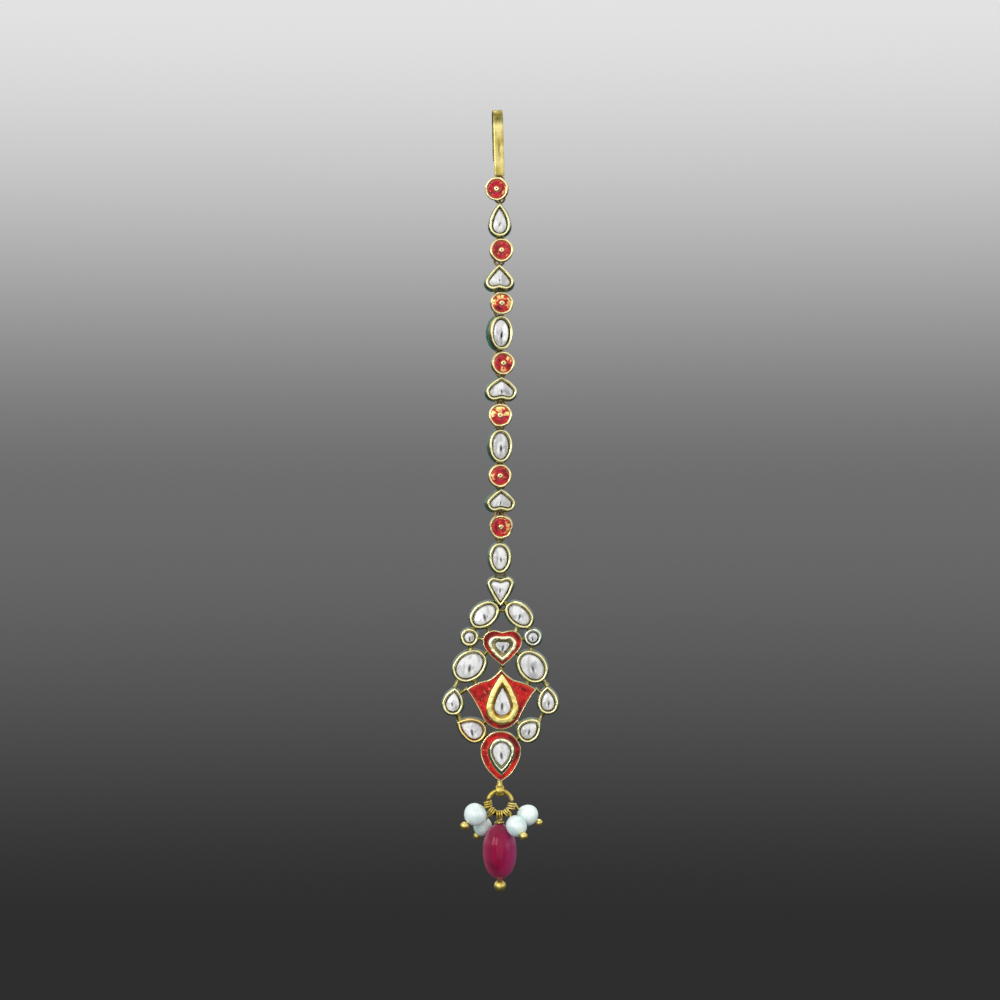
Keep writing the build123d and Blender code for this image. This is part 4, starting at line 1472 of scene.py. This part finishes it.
@dataclass
class Pendant:
    """The soldered openwork pendant, with its bail."""

    palette: Palette
    hang: tuple[float, float]        # where it hangs from the last link: x and level
    boxes: dict[str, StoneBox] = field(init=False)
    cells: dict[str, RedCell] = field(init=False)

    bail_half: float = 0.74  # half of the strap's width
    bail_outer: float = 1.0
    bail_bore: float = 0.66
    neck: Table = ((0.2, 0.0), (0.56, 0.02), (0.60, 0.2), (0.52, 0.5), (0.46, 0.9), (0.46, 1.3), (0.3, 1.6))
    neck_sunk: float = 0.45  # how deep the neck starts inside the bail
    solder_r: float = 0.36
    solder_end: float = 0.5
    solder_run: float = 0.25 # how far solder runs up each neighbour
    # Boxes of another gold: name and finish
    golds: tuple[tuple[str, int], ...] = (("lower_pear_left", 5), ("small_round_right", 6))

    def __post_init__(self) -> None:
        """Reads every cell."""
        self.boxes = {name: StoneBox(f"{name}_stone", 40 + number, gold=dict(self.golds).get(name, 0))
                      for number, name in enumerate(PENDANT_STONES)}
        self.cells = {"red_heart": RedCell("red_heart", Collar.CREAM, 0.25, 0.36, 61, (-0.9, -0.3)),
                      "tulip": RedCell("tulip", Collar.LEAF, 0.40, 0.08, 62, (0.3, -0.9)),
                      "teardrop": RedCell("teardrop", Collar.GREEN, 0.15, 0.05, 63, (0.8, 0.5))}

    def edge_of(self, name: str) -> np.ndarray:
        """Finds the outside of a box or cell.

        Args:
            name: start of its node names.

        Returns:
            Its outline half way up the wall, N by 3.
        """
        if name in self.boxes:
            outline = self.boxes[name].outline
            return outline.ring(outline.reach(0.8), 1.0)
        cell = self.cells[name]
        return cell.outline.ring(cell.outline.reach(cell.border), 1.0)

    def add_solder(self, draft: Draft) -> None:
        """Adds a waisted bridge of solder wherever two neighbours come nearest.

        Args:
            draft: the mesh so far.
        """
        for number, (one, other) in enumerate(SOLDERED):
            a, b = self.edge_of(one), self.edge_of(other)
            gaps = np.linalg.norm(a[:, None] - b[None], axis=2)
            i, j = np.unravel_index(gaps.argmin(), gaps.shape)
            middle, along, gap = (a[i] + b[j]) / 2, b[j] - a[i], gaps[i, j]
            half = gap / 2 + self.solder_run
            waist = self.solder_r + 0.07 * math.sin(number * 2.3)
            side = [(waist, gap / 4), (self.solder_end, half - 0.04), (0.1, half)]
            bar = [(radius, -run) for radius, run in reversed(side)] + [(waist - 0.02, 0.0)] + side
            # the solder is painted dark: grime and painted shade between the boxes
            draft.add_turned(middle + BACK * 0.1, along + UP * 1e-3, bar, 0.55, around=18)

    def add_bail(self, draft: Draft) -> None:
        """Adds the strap that holds the ring, and its neck.

        Args:
            draft: the mesh so far.
        """
        low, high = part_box("jump_ring")
        centre = np.array([(low.x + high.x) / 2, (low.y + high.y) / 2, high.z]) / MM - UP * RING_WIRE
        half, outer, bore = self.bail_half, self.bail_outer, self.bail_bore
        strap = np.linspace(-math.pi / 2, math.pi / 2, 13)
        profile = [(bore + (outer - bore) * math.cos(t) ** 0.6, -half * math.sin(t)) for t in strap]
        profile += [(bore - 0.01, share * half) for share in (-0.5, 0.0, 0.5)]
        draft.add_turned(centre, RIGHT, profile, 0.05, closed=True, around=56, finish=4)
        draft.add_turned(centre + UP * (outer - self.neck_sunk), UP, self.neck, 0.15, around=28, finish=4)

    def build(self) -> None:
        """Makes the metal, the stones and the enamels."""
        metal = Draft()
        for box in self.boxes.values():
            box.add_wall(metal)
        for cell in self.cells.values():
            cell.add_metal(metal)
        self.add_solder(metal)
        self.add_bail(metal)
        Loops().add(metal, *self.hang, -1, False)
        palette = self.palette
        finishes = [palette.box, palette.foot, palette.cream, palette.leaf, palette.wire, palette.amber,
                    palette.silvery]
        metal.make("pendant_metal", finishes, "pendant", Slot.BOX.value, ["pendant_frame"])
        stones = [(box, 0.0) for box in self.boxes.values()]
        stones += [(cell.stone, cell.rise) for cell in self.cells.values()]
        for box, rise in stones:
            stone = Draft()
            box.add_stone(stone, rise)
            stone.make(f"{box.node}_cut", [palette.stone], "pendant", Slot.STONE.value, [box.node], crease=12)
        for name, cell in self.cells.items():
            enamel = Draft()
            cell.add_enamel(enamel)
            enamel.make(f"{name}_glass", [palette.red], "pendant", Slot.ENAMEL.value, [f"{name}_enamel"])


# --- The drop ------------------------------------------------------------------------------------


@dataclass(frozen=True)
class BeadPlan:
    """A bead on a wire pin: where its wire is wound on the ring, the ball that stops it, its girth."""

    name: str
    ring_angle: float
    ball: float
    girth: float = 1.0       # how plump it is, against its length


PEARLS = (BeadPlan("left_front", 187, 0.78, 1.04), BeadPlan("left_back", 226, 0.67),
          BeadPlan("right_front", 305, 0.72, 0.95), BeadPlan("right_back", 344, 0.67, 1.03))
RUBY = BeadPlan("ruby", 268, 1.07)


@dataclass
class RingDrop:
    """The ring with its long red bead and pearls."""

    palette: Palette
    centre: np.ndarray = field(init=False)
    radius: float = field(init=False)

    coil_r: float = 0.6      # wire turns round the ring
    coil_wire: float = 0.17
    coil_pitch: float = 0.42
    coil_turns: float = 2.5
    coil_steps: int = 30     # points in one turn
    straightens: float = 1.2 # how far down its pin the wire comes in line
    dimple_r: float = 0.22   # where a pearl is drilled
    ball_gap: float = 0.03
    pole: float = 0.05       # angle that is left open at the poles of a ball
    # Gold collar on the red bead: radius, distance along the pin, grime with painted shade in its low places
    collar: Table = (
        (0.18, -0.62, 0.5), (0.34, -0.6, 0.5), (0.46, -0.5, 0.6), (0.56, -0.38, 0.6), (0.7, -0.26, 0.5),
        (0.84, -0.18, 0.2), (0.89, -0.1, 0.0), (0.88, -0.02, 0.0), (0.8, 0.06, 0.4), (0.6, 0.08, 0.8),
        (0.3, 0.04, 0.8),
    )

    def __post_init__(self) -> None:
        """Reads the ring."""
        low, high = (np.array(corner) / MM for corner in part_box("jump_ring"))
        self.centre = (low + high) / 2
        self.radius = (high[2] - low[2]) / 2 - RING_WIRE

    @staticmethod
    def middle(node: str) -> np.ndarray:
        """Middle of a CAD node's box."""
        low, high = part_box(node)
        return (np.array(low) + np.array(high)) / 2 / MM

    def wrap(self, plan: BeadPlan) -> tuple[np.ndarray, np.ndarray]:
        """Finds where a bead's wire is wound.

        Args:
            plan: the bead's plan.

        Returns:
            The place on the ring, and the ring's direction there.
        """
        angle = math.radians(plan.ring_angle)
        outwards = np.array([math.cos(angle), 0, math.sin(angle)])
        return self.centre + outwards * self.radius, np.array([-math.sin(angle), 0, math.cos(angle)])

    def add_pin(self, draft: Draft, plan: BeadPlan, centre: np.ndarray, half: float) -> np.ndarray:
        """Adds wire turns, a pin and its ball.

        Args:
            draft: the mesh so far.
            plan: the bead's plan.
            centre: the bead's middle.
            half: half of the bead's length.

        Returns:
            The direction of the pin, away from the ring.
        """
        place, tangent = self.wrap(plan)
        away = centre - place
        across = away - tangent * away.dot(tangent)
        across /= np.linalg.norm(across)
        side = np.cross(tangent, across)
        half_run = tangent * self.coil_pitch * self.coil_turns / 2
        turns = np.linspace(-self.coil_turns, 0, round(self.coil_steps * self.coil_turns))
        coil = [place + half_run + tangent * self.coil_pitch * turn
                + (across * math.cos(math.tau * turn) + side * math.sin(math.tau * turn)) * self.coil_r
                for turn in turns]
        exit_point = place + across * self.coil_r
        axis = centre - exit_point
        axis /= np.linalg.norm(axis)
        reach = (centre - exit_point) @ axis + half + self.ball_gap + plan.ball
        bend = self.straightens
        runs = np.append(np.linspace(0.12, bend, 10), np.linspace(bend + 0.2, reach, 8))
        pin = [exit_point + axis * run + half_run * max(0.0, 1 - run / bend) ** 2 for run in runs]
        draft.add_wire(np.array(coil + pin), self.coil_wire, 0.05)
        ball = centre + axis * (half + self.ball_gap + plan.ball)
        profile = [(plan.ball * math.sin(t), -plan.ball * math.cos(t))
                   for t in np.linspace(self.pole, math.pi - self.pole, 24)]
        draft.add_turned(ball, axis, profile, 0.02, around=36)
        return axis

    def build_ring(self) -> None:
        """Makes the jump ring."""
        draft = Draft()
        section = circle(120)
        path = self.centre + (section[:, :1] * RIGHT + section[:, 1:] * UP) * self.radius
        angles = np.degrees(np.arctan2(section[:, 1], section[:, 0]))
        nearest = np.min([degrees_apart(angles, plan.ring_angle) for plan in (*PEARLS, RUBY)], 0)
        # the ring is painted darker near the wire turns: grime and painted shade between the parts
        grime_and_painted_light = np.maximum(ramp(-nearest, -30, -24), 0.1)
        draft.add_wire(path, RING_WIRE, grime_and_painted_light, closed=True, around=20)
        draft.make("jump_ring_wire", [self.palette.wire], "drop", Slot.WIRE.value, ["jump_ring"])

    def build_pearl(self, plan: BeadPlan, seed: int) -> None:
        """Makes a pearl and its pin.

        Args:
            plan: the bead's plan.
            seed: which shape.
        """
        low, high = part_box(f"pearl_{plan.name}")
        radius = max(high - low) / 2 / MM
        centre = self.middle(f"pearl_{plan.name}")
        pin = Draft()
        axis = self.add_pin(pin, plan, centre, radius)
        pin.make(f"pearl_pin_{plan.name}_wire", [self.palette.wire], "drop", Slot.WIRE.value,
                 [f"pearl_pin_{plan.name}"])
        pearl = Draft()
        steps = np.linspace(0.09, math.pi - 0.09, 48)
        profile = [(radius * plan.girth * math.sin(t) * (1 + 0.035 * math.sin(2 * t + seed)),
                    -radius * math.cos(t)) for t in steps]
        dimple = self.dimple_r, radius * 0.9
        profile = [(dimple[0], -dimple[1]), *profile, dimple]
        pearl.add_turned(centre, axis, profile, around=64)
        pearl.make(f"pearl_{plan.name}_nacre", [self.palette.pearl], "drop", Slot.PEARL.value,
                   [f"pearl_{plan.name}"], rough=0.06, fine=0.0)

    def build_ruby(self) -> None:
        """Makes the long bead, its pin and the gold collar on top of it."""
        low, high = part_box("ruby_bead")
        half = (high.z - low.z) / 2 / MM
        belly = (high.x - low.x) / 2 / MM
        centre = self.middle("ruby_bead")
        pin = Draft()
        axis = self.add_pin(pin, RUBY, centre, half)
        radii, runs, grime_and_painted_light = zip(*self.collar)
        pin.add_turned(centre - axis * half, axis, list(zip(radii, runs)), list(grime_and_painted_light), around=36)
        pin.make("ruby_pin_wire", [self.palette.wire], "drop", Slot.WIRE.value, ["ruby_pin"])
        bead = Draft()
        runs = np.sin(np.linspace(-math.pi / 2, math.pi / 2, 64)) * half
        profile = [(max(0.26, belly * (1 - abs(z / half) ** 2.5) ** 0.62), z) for z in runs]
        bead.add_turned(centre, axis, profile, around=72)
        points = np.vstack(bead.points)
        # painted light: the bead turns violet towards its right side, where light leaks out
        bead.grime_and_painted_light = [np.clip((points[:, 0] - centre[0]) / belly * 0.8 + 0.05, 0, 1)]
        bead.make("ruby_bead_stone", [self.palette.ruby], "drop", Slot.RUBY.value, ["ruby_bead"],
                  rough=0.05, fine=0.0)

    def build(self) -> None:
        """Makes the whole drop."""
        self.build_ring()
        for seed, plan in enumerate(PEARLS):
            self.build_pearl(plan, seed)
        self.build_ruby()


# --- The studio ----------------------------------------------------------------------------------


@dataclass(frozen=True)
class SoftBox:
    """A soft lamp: where it stands, how wide and tall it is, and its power in watts."""

    name: str
    place: tuple[float, float, float]
    width: float
    height: float
    power: float


@dataclass
class Studio:
    """A grey backdrop that is light above and dark below, a small floor, soft lamps and the camera.

    Light from the world itself is plain white; what the camera and polished metal see is the backdrop.
    """

    floor_z: float = -190.0
    floor_size: float = 900.0
    sky: str = "#E4E4E4"
    middle: str = "#6E6E6E"
    ground: str = "#2E2E2E"
    plain_light: float = 0.66
    lens: float = 120.0
    sensor: float = 36.0
    view_width: float = 180.0# what the camera sees across, at the ornament
    rim_y: float = -2.2
    aim_x: float = 0.5
    aim_z: float = -69.84
    lamps: tuple[SoftBox, ...] = (
        SoftBox("left_window", (-390, -350, 60), 110, 280, 0.55),
        SoftBox("centre_window", (-205, -480, 60), 110, 280, 0.50),
        SoftBox("front_fill", (0, -700, -60), 620, 620, 0.80),
        SoftBox("right_fill", (430, -260, -40), 240, 240, 0.30),
        SoftBox("top_lamp", (40, 120, 330), 260, 260, 0.8),
    )

    def build_world(self) -> None:
        """Makes the world: plain light, and the backdrop for camera, glossy and transmission rays."""
        world = bpy.data.worlds.new("grey_backdrop")
        bpy.context.scene.world = world
        recipe = Recipe(world)
        view = recipe.add("TexCoord").outputs["Generated"]
        height = recipe.add("SeparateXYZ", {0: view}).outputs["Z"]
        low = recipe.add("MapRange", {"Value": height, "From Min": -0.13, "From Max": 0.02},
                         interpolation_type="SMOOTHSTEP")
        high = recipe.add("MapRange", {"Value": height, "From Min": 0.0, "From Max": 0.16},
                          interpolation_type="SMOOTHSTEP")
        lower = recipe.add("Mix", {BLEND: low, FIRST: self.ground, SECOND: self.middle}, data_type="RGBA")
        whole = recipe.add("Mix", {BLEND: high, FIRST: lower, SECOND: self.sky}, data_type="RGBA")
        seen = recipe.add("Background", {"Color": whole, "Strength": 1.0})
        light = recipe.add("Background", {"Color": "#FFFFFF", "Strength": self.plain_light})
        path = recipe.add("LightPath").outputs
        either = recipe.add("Math", {0: path["Is Camera Ray"], 1: path["Is Glossy Ray"]}, operation="MAXIMUM")
        any_view = recipe.add("Math", {0: either, 1: path["Is Transmission Ray"]}, operation="MAXIMUM")
        mix = recipe.add("MixShader", {0: any_view, 1: light, 2: seen})
        recipe.add("OutputWorld", {"Surface": mix})

    def build_floor(self) -> None:
        """Makes the floor, which fades out before it reaches the camera's view."""
        half = self.floor_size / 2
        corners = [(-half, -half), (half, -half), (half, half), (-half, half)]
        mesh = bpy.data.meshes.new("floor")
        mesh.from_pydata([(x * MM, y * MM, self.floor_z * MM) for x, y in corners], [], [(0, 1, 2, 3)])
        recipe = Recipe.for_material("grey_paper")
        place = recipe.add("TexCoord").outputs["Object"]
        away = recipe.add("VectorMath", {0: place, 1: (0, 0, self.floor_z * MM)}, operation="DISTANCE")
        far = recipe.add("MapRange", {"Value": away, "From Min": 0.05, "From Max": 0.19},
                         interpolation_type="SMOOTHSTEP")
        paper = recipe.add("BsdfDiffuse", {"Color": self.ground})
        clear = recipe.add("BsdfTransparent")
        mix = recipe.add("MixShader", {0: far, 1: paper, 2: clear})
        recipe.add("OutputMaterial", {"Surface": mix})
        mesh.materials.append(recipe.owner)
        floor = bpy.data.objects.new("floor", mesh)
        bpy.context.scene.collection.objects.link(floor)

    def add_lamp(self, box: SoftBox) -> None:
        """Adds a soft lamp that faces the ornament and that the camera doesn't see.

        Args:
            box: the lamp.
        """
        lamp = bpy.data.lights.new(box.name, "AREA")
        lamp.shape = "RECTANGLE"
        lamp.size = box.width * MM
        lamp.size_y = box.height * MM
        lamp.energy = box.power
        body = bpy.data.objects.new(box.name, lamp)
        body.location = Vector(box.place) * MM
        target = Vector((0, 0, self.aim_z)) * MM
        body.rotation_euler = (target - body.location).to_track_quat("-Z", "Y").to_euler()
        body.visible_camera = False
        bpy.context.scene.collection.objects.link(body)

    def build_camera(self) -> None:
        """Places the camera straight in front, so that it sees the whole ornament."""
        camera = bpy.data.cameras.new("camera")
        camera.lens = self.lens
        camera.sensor_width = self.sensor
        body = bpy.data.objects.new("camera", camera)
        distance = self.view_width * self.lens / self.sensor
        body.location = Vector((self.aim_x, self.rim_y - distance, self.aim_z)) * MM
        body.rotation_euler = (math.radians(90), 0, 0)
        bpy.context.scene.collection.objects.link(body)
        bpy.context.scene.camera = body

    def build(self) -> None:
        """Makes the whole studio."""
        self.build_world()
        self.build_floor()
        for box in self.lamps:
            self.add_lamp(box)
        self.build_camera()
        bpy.context.scene.view_settings.view_transform = "Standard"


def main() -> None:
    """Builds the ornament and its studio in order."""
    logging.basicConfig(level=logging.INFO, format="%(message)s")
    noise.seed_set(NOISE_SEED)
    palette = Palette()
    places = Strand(palette).build()
    Pendant(palette, places[-1]).build()
    RingDrop(palette).build()
    Studio().build()


if __name__ == "__main__":
    main()
